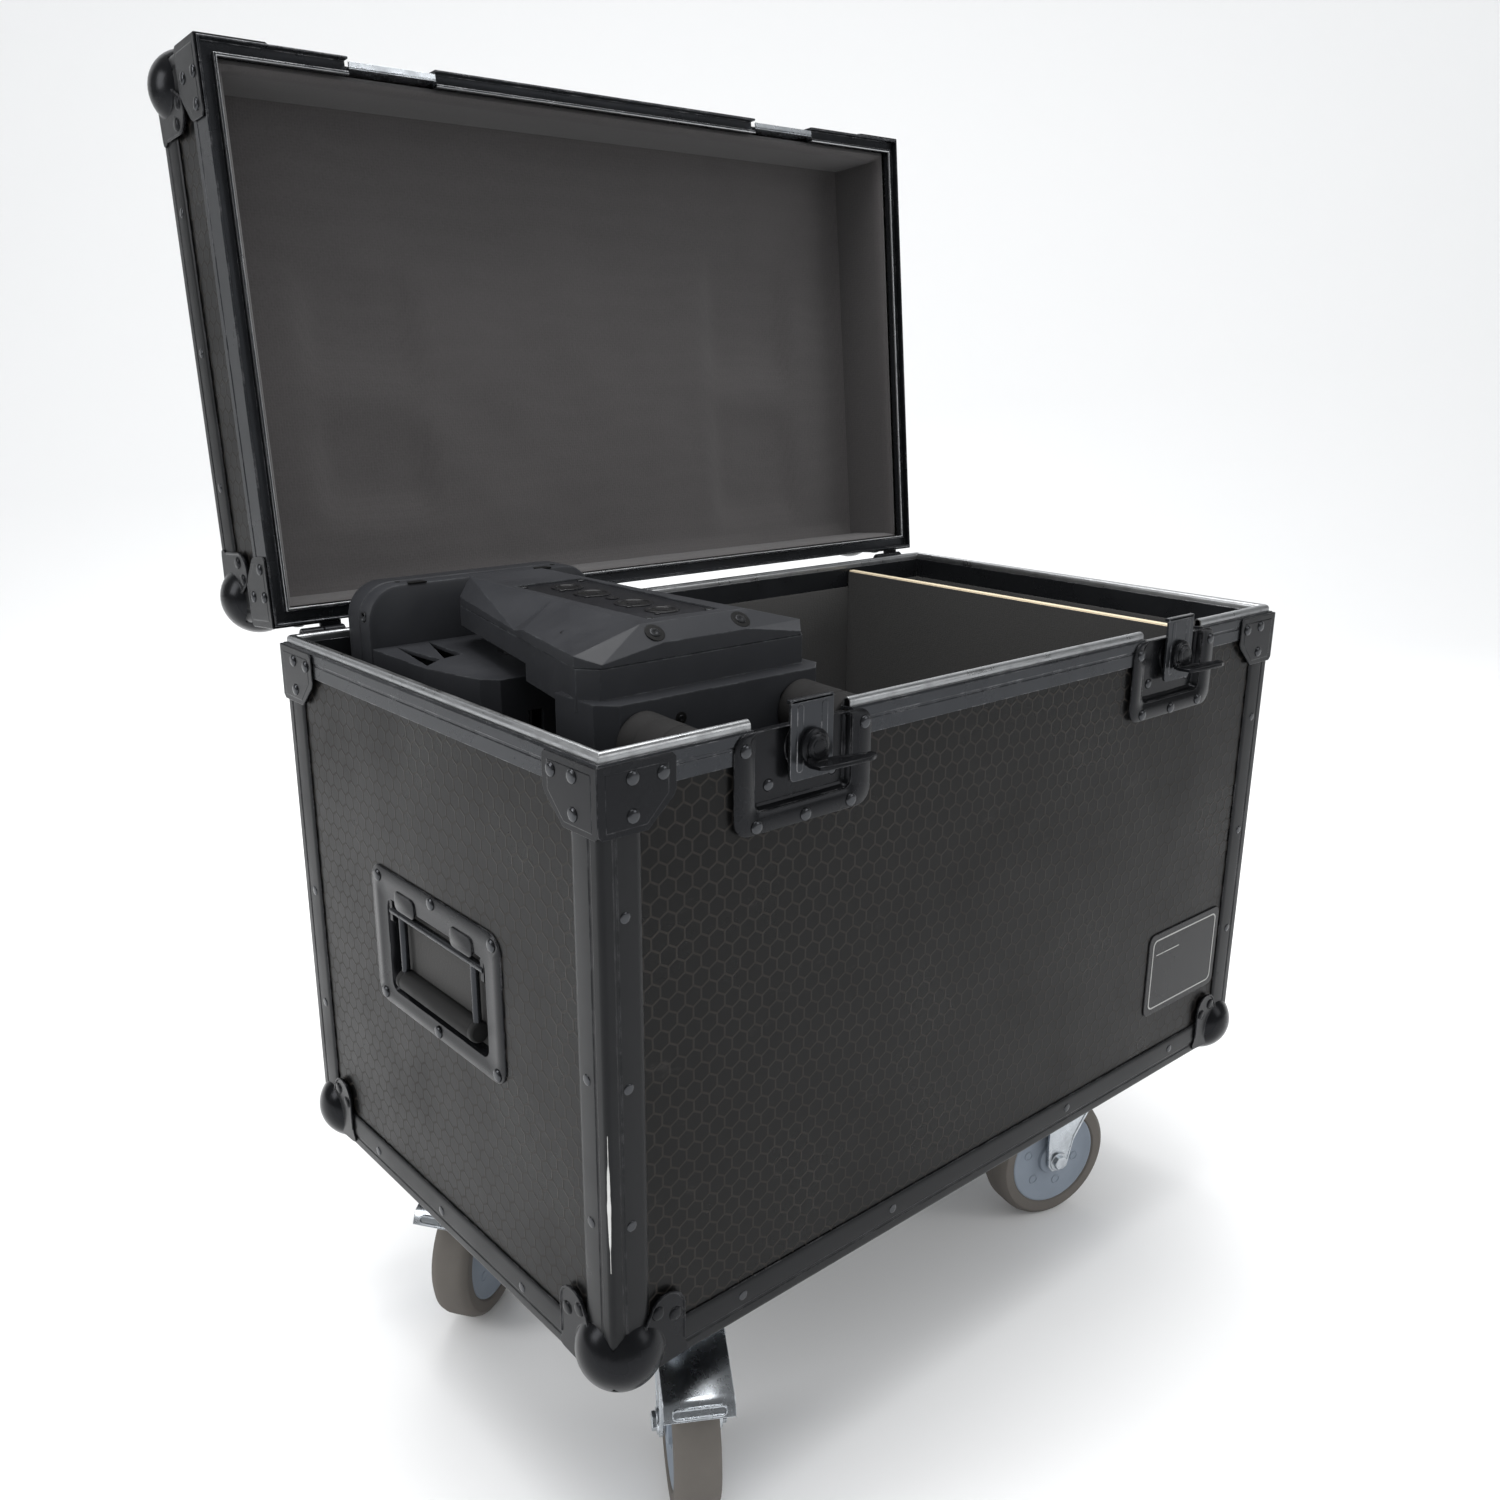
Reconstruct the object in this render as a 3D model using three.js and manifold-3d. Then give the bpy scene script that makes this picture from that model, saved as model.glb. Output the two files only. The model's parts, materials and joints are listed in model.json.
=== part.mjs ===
// A moving head light stowed in its wheeled flight case.
// Millimetres, +Z up, +X to the right along the case's front, +Y towards its back.
// The case is modelled from its front left bottom corner; the light has its own upright frame.
import * as THREE from 'three';
import { mergeVertices } from 'three/addons/utils/BufferGeometryUtils.js';
import Module from 'manifold-3d';

const wasm = await Module();
wasm.setup();

// ---- Driving dimensions: case ----
const bodyW = 740;
const bodyD = 432;
const bodyH = 432;
const lidH = 98;
const lidOpen = THREE.MathUtils.degToRad(95.7);
const gap = 0.3;              // between pieces that touch
const sheetT = 2;             // aluminium extrusion leg
const plyT = 7;               // laminated plywood board
const liningT = 3;
const padT = 8;               // padded lid lining
const padBackT = 4;           // along the hinge, where the light's head comes close
const edgeW = 30;             // leg of the edging angle
const rimLeg = 26;
const beadH = 6;
const beadW = 7;
const braceW = 55;
const braceT = 1.5;
const ballR = 30;
const ballInset = 19;
const dividerT = 9;
const dividerX = 618;         // left face of the divider
const dividerTop = 424;

// ---- Driving dimensions: fittings ----
const latchX = [159, bodyW - 159];
const latchW = 119;
const latchBottom = 358;
const panW = 84;
const panBottom = 372;
const panDepth = 6.5;
const plateT = 1.2;
const bossR = 12;
const bossDrop = 24;          // boss centre below the rim's top
const bossShift = 5;          // boss centre from the dish's middle
const hookW = 38;
const hookT = 2.5;
const hookTop = 440;          // with the latch open
const stubR = 5;
const keeperW = 76;           // notch in the lid for the keeper
const keeperShift = -5;
const handleY = 212;
const handleW = 185;
const handleH = 112;
const handleBottom = 168;
const pocketW = 142;
const pocketH = 76;
const pocketDepth = 13;
const gripR = 8;
const gripW = 112;
const namePlate = { x: 591, z: 67, w: 116, h: 81, t: 1 };

// ---- Driving dimensions: castors ----
const castorH = 172;
const wheelR = 62.5;
const tyreW = 34;
const trail = 39.5;
const castorX = 119.3;
const castorY = 81;
const castorPlate = { w: 105, d: 85, t: 4 };
const racewayR = 31;
const racewayH = 14;
const forkLegT = 3;
const axleR = 6;
const pedalW = 50;
const castors = [
  { name: 'front_left', x: castorX, y: castorY, heading: -121.6, brake: true },
  { name: 'front_right', x: bodyW - castorX, y: castorY, heading: 165.3, brake: false },
  { name: 'back_left', x: castorX, y: bodyD - castorY, heading: -146.4, brake: true },
  { name: 'back_right', x: bodyW - castorX, y: bodyD - castorY, heading: -155, brake: false },
];

// ---- Driving dimensions: light, in its own frame (u across, v deep, w up from its feet) ----
const lightX = 149;           // case x of the light's middle
const feetY = 15;             // case y of the feet's tips
const lightTop = 46;          // how far the upper arm stands above the rim
const armU = 220;             // arm's outer face from the light's middle
const coverT = 21.5;          // cover's depth, outer face to parting line
const shellInner = 182.5;     // neck's inner face
const rootInner = 170;        // arm root's inner face
const baseW0 = 53;            // base underside above the feet's tips
const baseW1 = 108;
const baseV = 96;
const axisW = 275;            // tilt axis height
const footR = 19;
const footU = 152;
const footV = 68;
const bezelW0 = 355;
const bezelDepth = 41;
const bezelU = 214;
const bezelV = 104.5;
const bezelR = 28;
const rearV = bezelV - 1.5;    // rear cover's half-depth
const headU = 166;            // rear cover's end
const wallT = 3;
const panelU = 60;            // connector panel width
const panelL = 167;
const panelMid = 177.6;
const socketR = [10, 12, 12, 10];
const socketAt = [-58.3, -25.4, 25.4, 58.3];
const shaftR = 10;
const drivePulleyR = 36;
const motorPulleyR = 12;          // a third of the drive pulley
const motorW = 88;
const pulleyU = 188;
const pulleyT = 8;
const beltT = 2;

const boardIn = sheetT + gap;             // board's outer face, in from the box
const boardBack = boardIn + plyT;         // board's inner face
const liningIn = boardBack + gap;
const liningBack = liningIn + liningT;
const webTop = bodyH - beadH;
const webBottom = webTop - 2.7;
const lidZ = webTop + 0.5;                // lid's lower edge when closed
const hingeY = bodyD + 9.4;
const hingeZ = webTop + 0.8;
const hingeX = [38, bodyW - 38];
const hingeHalf = 18;
const knuckleR = 5.5;
const pinR = 2.6;
const beadIn = 2.8;
const braceBottom = 381;
const earR = 14;              // ball corner's ears
const earEnd = 43;
const hookFront = -1.8;
const hookLip = 2.9;          // end of the open hook's lip
const hookTravel = 9.1;
const ledgeY = 3.4;           // keeper's ledge, from the case's front
const ledgeZ = webTop + 2.3;
const wireR = 3.2;
const gripDrop = 52;

// ---- Solid helpers ----
function solid(geometry) {
  const g = geometry.clone();
  g.deleteAttribute('normal');
  g.deleteAttribute('uv');
  const merged = mergeVertices(g, 1e-4);
  const vertProperties = new Float32Array(merged.attributes.position.array);
  const triVerts = new Uint32Array(merged.index.array);
  return new wasm.Manifold(new wasm.Mesh({ numProp: 3, vertProperties, triVerts }));
}

function toGeometry(manifold) {
  const mesh = manifold.getMesh();
  const geometry = new THREE.BufferGeometry();
  geometry.setAttribute('position', new THREE.BufferAttribute(mesh.vertProperties, 3));
  geometry.setIndex(new THREE.BufferAttribute(mesh.triVerts, 1));
  geometry.computeVertexNormals();
  return geometry;
}

function join(...pieces) {
  return pieces.reduce((sum, piece) => sum.add(piece));
}

function cut(body, ...tools) {
  return tools.reduce((rest, tool) => rest.subtract(tool), body);
}

function block(x0, x1, y0, y1, z0, z1) {
  const g = new THREE.BoxGeometry(x1 - x0, y1 - y0, z1 - z0);
  g.translate((x0 + x1) / 2, (y0 + y1) / 2, (z0 + z1) / 2);
  return solid(g);
}

// A rod of radius r along one axis from a to b, through the point p of the other two axes.
function rod(axis, r, p, a, b, sides = 20, r2 = r) {
  const g = new THREE.CylinderGeometry(r2, r, b - a, sides);
  g.translate(0, (a + b) / 2, 0);
  if (axis === 'x') {
    g.rotateZ(-Math.PI / 2);
    g.translate(0, p[0], p[1]);
  } else if (axis === 'y') {
    g.translate(p[0], 0, p[1]);
  } else {
    g.rotateX(Math.PI / 2);
    g.translate(p[0], p[1], 0);
  }
  return solid(g);
}

function shapeOf(points, hole) {
  const shape = new THREE.Shape(points.map(([a, b]) => new THREE.Vector2(a, b)));
  if (hole) shape.holes.push(new THREE.Path(hole.map(([a, b]) => new THREE.Vector2(a, b))));
  return shape;
}

// Prisms: the outline's two numbers are (y,z) along x, (x,z) along y and (x,y) along z.
function prism(axis, shape, from, to, curveSegments = 6) {
  const g = new THREE.ExtrudeGeometry(shape, { depth: to - from, bevelEnabled: false, curveSegments });
  if (axis === 'x') {
    g.applyMatrix4(new THREE.Matrix4().set(0, 0, 1, from, 1, 0, 0, 0, 0, 1, 0, 0, 0, 0, 0, 1));
  } else if (axis === 'y') {
    g.rotateX(Math.PI / 2);
    g.translate(0, to, 0);
  } else {
    g.translate(0, 0, from);
  }
  return solid(g);
}

function roundedRect(x0, x1, y0, y1, r) {
  const s = new THREE.Shape();
  s.moveTo(x0 + r, y0);
  s.lineTo(x1 - r, y0);
  s.absarc(x1 - r, y0 + r, r, -Math.PI / 2, 0, false);
  s.lineTo(x1, y1 - r);
  s.absarc(x1 - r, y1 - r, r, 0, Math.PI / 2, false);
  s.lineTo(x0 + r, y1);
  s.absarc(x0 + r, y1 - r, r, Math.PI / 2, Math.PI, false);
  s.lineTo(x0, y0 + r);
  s.absarc(x0 + r, y0 + r, r, Math.PI, 1.5 * Math.PI, false);
  return s;
}

// A closed skin over rings of points in order.
// Each ring is convex and runs anticlockwise seen from the last.
function loft(rings) {
  const n = rings[0].length;
  const index = [];
  for (let i = 0; i + 1 < rings.length; i += 1) {
    for (let k = 0; k < n; k += 1) {
      const a = i * n + k;
      const b = i * n + ((k + 1) % n);
      index.push(a, b, b + n, a, b + n, a + n);
    }
  }
  const last = (rings.length - 1) * n;
  for (let k = 1; k + 1 < n; k += 1) {
    index.push(0, k + 1, k);
    index.push(last, last + k, last + k + 1);
  }
  const g = new THREE.BufferGeometry();
  g.setAttribute('position', new THREE.Float32BufferAttribute(rings.flat(2), 3));
  g.setIndex(index);
  return solid(g);
}

function place(manifold, matrix) {
  const g = toGeometry(manifold);
  g.applyMatrix4(matrix);
  return solid(g);
}

function shifted(manifold, x, y, z) {
  return place(manifold, new THREE.Matrix4().makeTranslation(x, y, z));
}

function mirrored(manifold, axis) {
  const s = new THREE.Vector3(1, 1, 1).setComponent(axis, -1);
  const g = toGeometry(manifold);
  g.scale(s.x, s.y, s.z);
  const i = g.index.array;
  for (let k = 0; k < i.length; k += 3) [i[k + 1], i[k + 2]] = [i[k + 2], i[k + 1]];
  return solid(g);
}

function material(color, roughness, metalness) {
  return new THREE.MeshStandardMaterial({ color, roughness, metalness });
}

function add(group, name, manifold, look) {
  const mesh = new THREE.Mesh(toGeometry(manifold), material(...look));
  mesh.name = name;
  group.add(mesh);
}

// A rectangular ring between two insets from the case's outline.
function ring(outer, inner, z0, z1) {
  const a = block(outer, bodyW - outer, outer, bodyD - outer, z0, z1);
  return cut(a, block(inner, bodyW - inner, inner, bodyD - inner, z0 - 1, z1 + 1));
}

const laminate = [0x0c0c0d, 0.45, 0];
const blackMetal = [0x141416, 0.35, 0.8];
const greyMetal = [0x2a2c30, 0.4, 0.8];
const brightMetal = [0x8c8f92, 0.3, 0.9];
const zinc = [0xb9c0c6, 0.3, 0.9];
const cloth = [0x3a3a3c, 0.9, 0];
const casing = [0x1b1c1f, 0.55, 0];
const darkMetal = [0x232427, 0.5, 0.6];
const rubber = [0x2b2b2b, 0.9, 0];

const caseGroup = new THREE.Group();
const lidGroup = new THREE.Group();
const lightGroup = new THREE.Group();

// ---- Case boards ----
function panOpening(x, grow) {
  const half = panW / 2 + grow;
  return block(x - half, x + half, -20, boardBack + 1, panBottom - grow, bodyH + 20);
}

function pocketOpening(grow) {
  const half = pocketW / 2 + grow;
  const z0 = handleBottom + 13 - grow;
  return (x0, x1) => block(x0, x1, handleY - half, handleY + half, z0, z0 + pocketH + 2 * grow);
}

const boardZ = boardBack + gap;
const boardTop = webBottom - gap;
const frontBoard = block(liningIn, bodyW - liningIn, boardIn, boardBack, boardZ, boardTop);
add(caseGroup, 'front_panel', cut(frontBoard, ...latchX.map((x) => panOpening(x, 1.5))), laminate);
const backBoard = block(liningIn, bodyW - liningIn, bodyD - boardBack, bodyD - boardIn, boardZ, boardTop);
add(caseGroup, 'back_panel', backBoard, laminate);
const sideCut = pocketOpening(1.5);
const sideBoard = block(boardIn, boardBack, boardIn, bodyD - boardIn, boardZ, boardTop);
const leftBoard = cut(sideBoard, sideCut(-1, 20));
add(caseGroup, 'left_panel', leftBoard, laminate);
add(caseGroup, 'right_panel', shifted(mirrored(leftBoard, 0), bodyW, 0, 0), laminate);

function castorBase(c) {
  const p = castorPlate;
  const plate = block(c.x - p.w / 2, c.x + p.w / 2, c.y - p.d / 2, c.y + p.d / 2, -2, boardIn + 1);
  return join(plate, rod('z', racewayR, [c.x, c.y], -2 - racewayH, -1, 20));
}

const bottomBoard = block(boardIn, bodyW - boardIn, boardIn, bodyD - boardIn, boardIn, boardBack);
add(caseGroup, 'bottom_panel', join(bottomBoard, ...castors.map(castorBase)), laminate);

// ---- Edging: angles, corner braces and ball corners in one riveted frame ----
function atCorners(piece) {
  const front = join(piece, shifted(mirrored(piece, 0), bodyW, 0, 0));
  return join(front, shifted(mirrored(front, 1), 0, bodyD, 0));
}

function uprightAngle(z0, z1) {
  const t = sheetT;
  return prism('z', shapeOf([[0, 0], [edgeW, 0], [edgeW, t], [t, t], [t, edgeW], [0, edgeW]]), z0, z1);
}

// Two plates round an upright corner, clear of the rim's leg and joined to the angle between a and b.
function brace(z0, z1, a, b) {
  const out = gap + braceT;
  return join(
    block(-out, braceW, -out, -gap, z0, z1),
    block(-out, -gap, -out, braceW, z0, z1),
    block(-gap - 0.1, braceW, -gap - 0.1, 0.5, a, b),
    block(-gap - 0.1, 0.5, -gap - 0.1, braceW, a, b),
  );
}

// A ball corner outside the box corner at the origin: a bulge and one rounded finger on each face.
// A ball with a riveted ear on both upright faces, its inner edge swept up from the corner.
function ballCorner() {
  const c = ballInset;
  const end = earEnd + earR;
  const points = [[4, c - 3], [c - 9, c + 1], [c + 2, c + 12], [earEnd - earR + 1, earEnd + 3]];
  for (let i = 1; i <= 5; i += 1) {
    const q = Math.PI - (i / 6) * Math.PI;
    points.push([earEnd + earR * Math.cos(q), earEnd + earR * Math.sin(q)]);
  }
  points.push([end, earEnd - 2], [end, c - 4], [end + 3, c - 10], [end - 2, 4], [c, 2]);
  const g = new THREE.SphereGeometry(ballR, 12, 8);
  g.translate(c, c, c);
  const outline = shapeOf(points.reverse());
  const ears = ['x', 'y'].map((axis) => prism(axis, outline, -braceT, 0.5));
  return cut(join(solid(g), ...ears), block(0.5, 200, 0.5, 200, 0.5, 200));
}

const rimBottom = bodyH - rimLeg;
const edgingTop = rimBottom - gap;
const bodyAngles = join(ring(0, sheetT, 0, edgeW), ring(0, edgeW, 0, sheetT));
const bodyCorner = join(
  uprightAngle(0, edgingTop),
  brace(braceBottom, webTop - 1, braceBottom, edgingTop),
  ballCorner(),
);
// Room for a hinge leaf in the back corner braces.
const leafRoom = hingeX.map((x) => {
  const half = hingeHalf + gap;
  return block(x - half, x + half, bodyD + 0.1, bodyD + 5, rimBottom - gap, hingeZ + 40);
});
add(caseGroup, 'body_edging', cut(join(bodyAngles, atCorners(bodyCorner)), ...leafRoom), blackMetal);

// ---- Rim with its bead, and the hinges' case halves ----
function bead(z0, inset) {
  const r = beadW / 2;
  const side = (at) => {
    const s = new THREE.Shape();
    s.moveTo(at - r, z0 - 0.5);
    s.lineTo(at + r, z0 - 0.5);
    s.lineTo(at + r, z0 + beadH - r);
    s.absarc(at, z0 + beadH - r, r, 0, Math.PI, false);
    return s;
  };
  const mid = inset + r;
  const alongX = [mid, bodyD - mid].map((at) => prism('x', side(at), inset, bodyW - inset, 3));
  const alongY = [mid, bodyW - mid].map((at) => prism('y', side(at), inset, bodyD - inset, 3));
  return join(...alongX, ...alongY);
}

const innerLeg = boardBack + gap;
const rimFrame = join(
  ring(0, sheetT, rimBottom, webTop),
  ring(0, innerLeg + sheetT, webBottom, webTop),
  ring(innerLeg, innerLeg + sheetT, rimBottom, webTop),
  bead(webTop, beadIn),
);
const latchSlots = latchX.map((x) => {
  const half = panW / 2 + 1;
  return join(
    block(x - half, x + half, -1, panDepth + 1, rimBottom - 1, webTop + 1),
    block(x - half, x + half, -1, beadIn + beadW + 0.4, webTop, bodyH + 1),
  );
});

function caseKnuckle(x) {
  return join(
    block(x - hingeHalf, x + hingeHalf, bodyD - 0.5, bodyD + 2, rimBottom, hingeZ - 2),
    block(x - hingeHalf, x - gap, bodyD, hingeY, hingeZ - knuckleR + 1, hingeZ - 2),
    rod('x', knuckleR, [hingeY, hingeZ], x - hingeHalf, x - gap, 12),
    rod('x', pinR, [hingeY, hingeZ], x - gap - 1, x + hingeHalf - 1, 10),
  );
}

add(caseGroup, 'body_rim', join(cut(rimFrame, ...latchSlots), ...hingeX.map(caseKnuckle)), brightMetal);

// ---- Inside the case ----
const floorTop = innerLeg + liningT;
const tub = cut(
  block(liningIn, bodyW - liningIn, liningIn, bodyD - liningIn, innerLeg, rimBottom - gap),
  block(liningBack, bodyW - liningBack, liningBack, bodyD - liningBack, floorTop, rimBottom),
  sideCut(liningIn - 1, liningBack + 1),
  sideCut(bodyW - liningBack - 1, bodyW - liningIn + 1),
);
add(caseGroup, 'body_lining', tub, cloth);

const inside = liningBack + gap;
const dividerEnd = dividerX + dividerT;
const board = block(dividerX, dividerEnd, inside, bodyD - inside, floorTop + gap, dividerTop);
add(caseGroup, 'divider', board, [0x8a7c64, 0.8, 0]);

// ---- Fittings on the case ----
const { x: plateX, z: plateZ } = namePlate;
const plateShape = roundedRect(plateX, plateX + namePlate.w, plateZ, plateZ + namePlate.h, 8);
const plateBack = boardIn - gap;
const plate = prism('y', plateShape, plateBack - namePlate.t, plateBack, 4);
add(caseGroup, 'name_plate', plate, [0x0e0e10, 0.5, 0]);

const bossZ = bodyH - bossDrop;
function latchDish(x) {
  const out = gap + plateT;
  const half = latchW / 2;
  const top = webTop - 1;
  const pan = block(x - panW / 2, x + panW / 2, -gap - 0.1, panDepth, panBottom, top);
  const flange = prism('y', roundedRect(x - half, x + half, latchBottom, top, 12), -out, -gap, 4);
  const h = panW / 2 - plateT;
  const hollow = block(x - h, x + h, -out - 1, panDepth - plateT, panBottom + plateT, top + 1);
  const stub = rod('y', stubR, [x + bossShift, bossZ], hookFront, panDepth - 0.5, 12);
  return join(cut(join(flange, pan), hollow), stub);
}

// The hook's plate lies round the stub; its slot lets it travel down by hookTravel.
function latchHook(x) {
  const x0 = x + bossShift - hookW / 2;
  const x1 = x0 + hookW;
  const c = x + bossShift;
  const plate = block(x0, x1, hookFront, hookFront + hookT, bossZ - 22, hookTop);
  const lip = block(x0, x1, hookFront, hookLip, hookTop - 2.5, hookTop);
  const r = stubR + 0.8;
  const slot = block(c - r, c + r, hookFront - 1, hookFront + hookT + 1, bossZ - r, bossZ + r + hookTravel);
  return cut(join(plate, lip), slot);
}

function latchWing(x) {
  const c = x + bossShift;
  const back = hookFront - gap;
  const boss = rod('y', bossR, [c, bossZ], back - 6.5, back, 16);
  const outline = [[-8, 0], [-8, -14], [34, -18], [43, -13], [43, -8], [14, 0]];
  const placed = outline.map(([a, b]) => [c + a, back - 3 + b]);
  return join(boss, prism('z', shapeOf(placed), bossZ - bossR, bossZ - bossR + 3));
}

latchX.forEach((x, i) => {
  const side = i === 0 ? 'left' : 'right';
  add(caseGroup, `${side}_latch_dish`, latchDish(x), blackMetal);
  add(caseGroup, `${side}_latch_hook`, latchHook(x), blackMetal);
  add(caseGroup, `${side}_latch_wing`, latchWing(x), blackMetal);
});

const pocketZ = handleBottom + 13;
const gripTop = pocketZ + pocketH - 10;
const gripPivotX = boardIn + 2;
function handleDish() {
  const out = gap + plateT;
  const half = handleW / 2;
  const w = pocketW / 2;
  const t = plateT;
  const top = pocketZ + pocketH;
  const shape = roundedRect(handleY - half, handleY + half, handleBottom, handleBottom + handleH, 14);
  const flange = prism('x', shape, boardIn - out, boardIn - gap, 4);
  const pan = block(boardIn - gap - 0.1, boardIn + pocketDepth, handleY - w, handleY + w, pocketZ, top);
  const hollow = block(boardIn - out - 1, boardIn + pocketDepth - t, handleY - w + t, handleY + w - t,
    pocketZ + t, top - t);
  const pin = [gripPivotX, gripTop];
  const cheeks = [-1, 1].map((s) => {
    const a = handleY + s * (w - 5);
    const cheek = block(boardIn - 1, boardIn + pocketDepth - 1, a - 2, a + 2, gripTop - 7, top - 1);
    return cut(cheek, rod('y', wireR + gap, pin, a - 4, a + 4, 12));
  });
  return join(cut(join(flange, pan), hollow), ...cheeks);
}

function handleGrip() {
  const half = gripW / 2;
  const wire = (y) => rod('z', wireR, [gripPivotX, y], gripTop - gripDrop, gripTop, 10);
  return join(
    rod('y', wireR, [gripPivotX, gripTop], handleY - half - 11, handleY + half + 11, 10),
    wire(handleY - half + 4),
    wire(handleY + half - 4),
    rod('y', gripR, [gripPivotX, gripTop - gripDrop], handleY - half, handleY + half, 16),
  );
}

const dish = handleDish();
const grip = handleGrip();
add(caseGroup, 'left_handle_dish', dish, blackMetal);
add(caseGroup, 'left_handle_grip', grip, rubber);
add(caseGroup, 'right_handle_dish', shifted(mirrored(dish, 0), bodyW, 0, 0), blackMetal);
add(caseGroup, 'right_handle_grip', shifted(mirrored(grip, 0), bodyW, 0, 0), rubber);

// ---- Castors, in a frame with the wheel trailing along +X ----
const axleZ = wheelR - castorH;
const crownTop = -2 - racewayH - gap;
const forkHalf = tyreW / 2 + 3;
const pedalAt = [trail + 5, axleZ + 74];
function fork() {
  const side = shapeOf([
    [-20, crownTop - 1], [34, crownTop - 1], [trail + 12, pedalAt[1] + 8], [trail + 12, pedalAt[1] - 8],
    [trail + 11, axleZ - 10], [trail - 11, axleZ - 10], [trail - 15, axleZ + 14],
  ]);
  return join(
    rod('z', racewayR - 1, [0, 0], crownTop - 5, crownTop, 14),
    block(-20, 30, -forkHalf - forkLegT, forkHalf + forkLegT, crownTop - 5, crownTop - 1),
    prism('y', side, forkHalf, forkHalf + forkLegT),
    prism('y', side, -forkHalf - forkLegT, -forkHalf),
    rod('y', axleR, [trail, axleZ], -forkHalf - 6, forkHalf + 6, 10),
    rod('y', 3, pedalAt, -forkHalf - 7, forkHalf + 7, 8),
  );
}

// Tyre and hub as one lathe turn about the axle.
function wheel() {
  const h = tyreW / 2;
  const bore = axleR + gap;
  const profile = [
    [bore, -h - 1], [17, -h - 1], [17, -h + 4], [38, -h + 4],
    [42, -h], [wheelR - 5, -h], [wheelR, -h + 9],
    [wheelR, h - 9], [wheelR - 5, h], [42, h],
    [38, h - 4], [17, h - 4], [17, h + 1], [bore, h + 1], [bore, -h - 1],
  ];
  const g = new THREE.LatheGeometry(profile.map(([r, y]) => new THREE.Vector2(r, y)), 16);
  g.translate(trail, 0, axleZ);
  return solid(g);
}

function pedal() {
  const at = (dx, dz) => [trail + dx, axleZ + dz];
  const tread = shapeOf([
    at(2, 80), at(22, 77), at(60, 67), at(65, 58), at(67.5, 59), at(62, 69.5), at(23, 80), at(2, 83),
  ]);
  const cheek = shapeOf([at(-4, 82), at(22, 79), at(44, 72), at(40, 63), at(18, 66), at(-4, 68)]);
  const y = forkHalf + forkLegT + gap;
  const room = [1, -1].map((s) => {
    const middle = s * (forkHalf + forkLegT / 2);
    const half = forkLegT / 2 + gap;
    return block(trail - 20, trail + 13, middle - half, middle + half, axleZ, axleZ + 100);
  });
  const ends = [
    block(trail - 20, trail + 13, y, pedalW, axleZ, 0),
    block(trail - 20, trail + 13, -pedalW, -y, axleZ, 0),
  ];
  const made = join(
    cut(prism('y', tread, -pedalW / 2, pedalW / 2), ...room, ...ends),
    prism('y', cheek, y, y + 2),
    prism('y', cheek, -y - 2, -y),
  );
  return cut(made, rod('y', 3 + gap, pedalAt, -y - 4, y + 4, 8));
}

const tyreGrey = [0x6b645c, 0.8, 0];
castors.forEach((c) => {
  const turn = new THREE.Group();
  turn.position.set(c.x, c.y, 0);
  turn.rotation.z = THREE.MathUtils.degToRad(c.heading);
  caseGroup.add(turn);
  add(turn, `${c.name}_fork`, fork(), zinc);
  add(turn, `${c.name}_wheel`, wheel(), tyreGrey);
  if (c.brake) add(turn, `${c.name}_brake_pedal`, pedal(), zinc);
});

// ---- Lid, modelled closed ----
const lidTop = lidZ + lidH;
const lidWeb0 = lidZ + beadH + 0.5;
const lidWeb1 = lidWeb0 + 2.5;
const lidLegTop = lidWeb1 + 20;
const lidLip = innerLeg + 1.3;
const keeperNotch = latchX.map((x) => {
  const mid = x + keeperShift;
  return block(mid - keeperW / 2, mid + keeperW / 2, -1, boardBack + 0.1, lidZ - 1, lidWeb0 + 12);
});

const lidBox = block(boardIn, bodyW - boardIn, boardIn, bodyD - boardIn, lidWeb1 + gap, lidTop - boardIn);
const lidHollow = block(
  boardBack, bodyW - boardBack, boardBack, bodyD - boardBack, lidZ, lidTop - boardBack,
);
add(lidGroup, 'lid_panels', cut(lidBox, lidHollow, ...keeperNotch), laminate);

const lidAngles = join(ring(0, sheetT, lidTop - edgeW, lidTop), ring(0, edgeW, lidTop - sheetT, lidTop));
const lidCorner = join(
  uprightAngle(lidLegTop + gap, lidTop),
  brace(lidZ + 2, lidZ + 45, lidLegTop + gap, lidZ + 45),
  shifted(mirrored(ballCorner(), 2), 0, 0, lidTop),
);
add(lidGroup, 'lid_edging', cut(join(lidAngles, atCorners(lidCorner)), ...leafRoom), blackMetal);

function lidKnuckle(x) {
  const made = join(
    block(x - hingeHalf, x + hingeHalf, bodyD - 0.5, bodyD + 2, hingeZ + knuckleR + 0.5, lidLegTop),
    block(x + gap, x + hingeHalf, bodyD + 0.5, hingeY, hingeZ + 3, hingeZ + knuckleR + 2),
    rod('x', knuckleR, [hingeY, hingeZ], x + gap, x + hingeHalf, 12),
  );
  return cut(made, rod('x', pinR + 0.5, [hingeY, hingeZ], x - 1, x + hingeHalf + 1, 10));
}

const lidRimFrame = join(
  ring(0, sheetT, lidZ, lidLegTop),
  ring(0, lidLip + sheetT, lidWeb0, lidWeb1),
  ring(lidLip, lidLip + sheetT, lidZ, lidWeb1),
  ring(innerLeg, innerLeg + sheetT, lidWeb0, lidLegTop),
);
const lidRim = join(cut(lidRimFrame, ...keeperNotch), ...hingeX.map(lidKnuckle));
add(lidGroup, 'lid_rim', lidRim, greyMetal);

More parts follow.
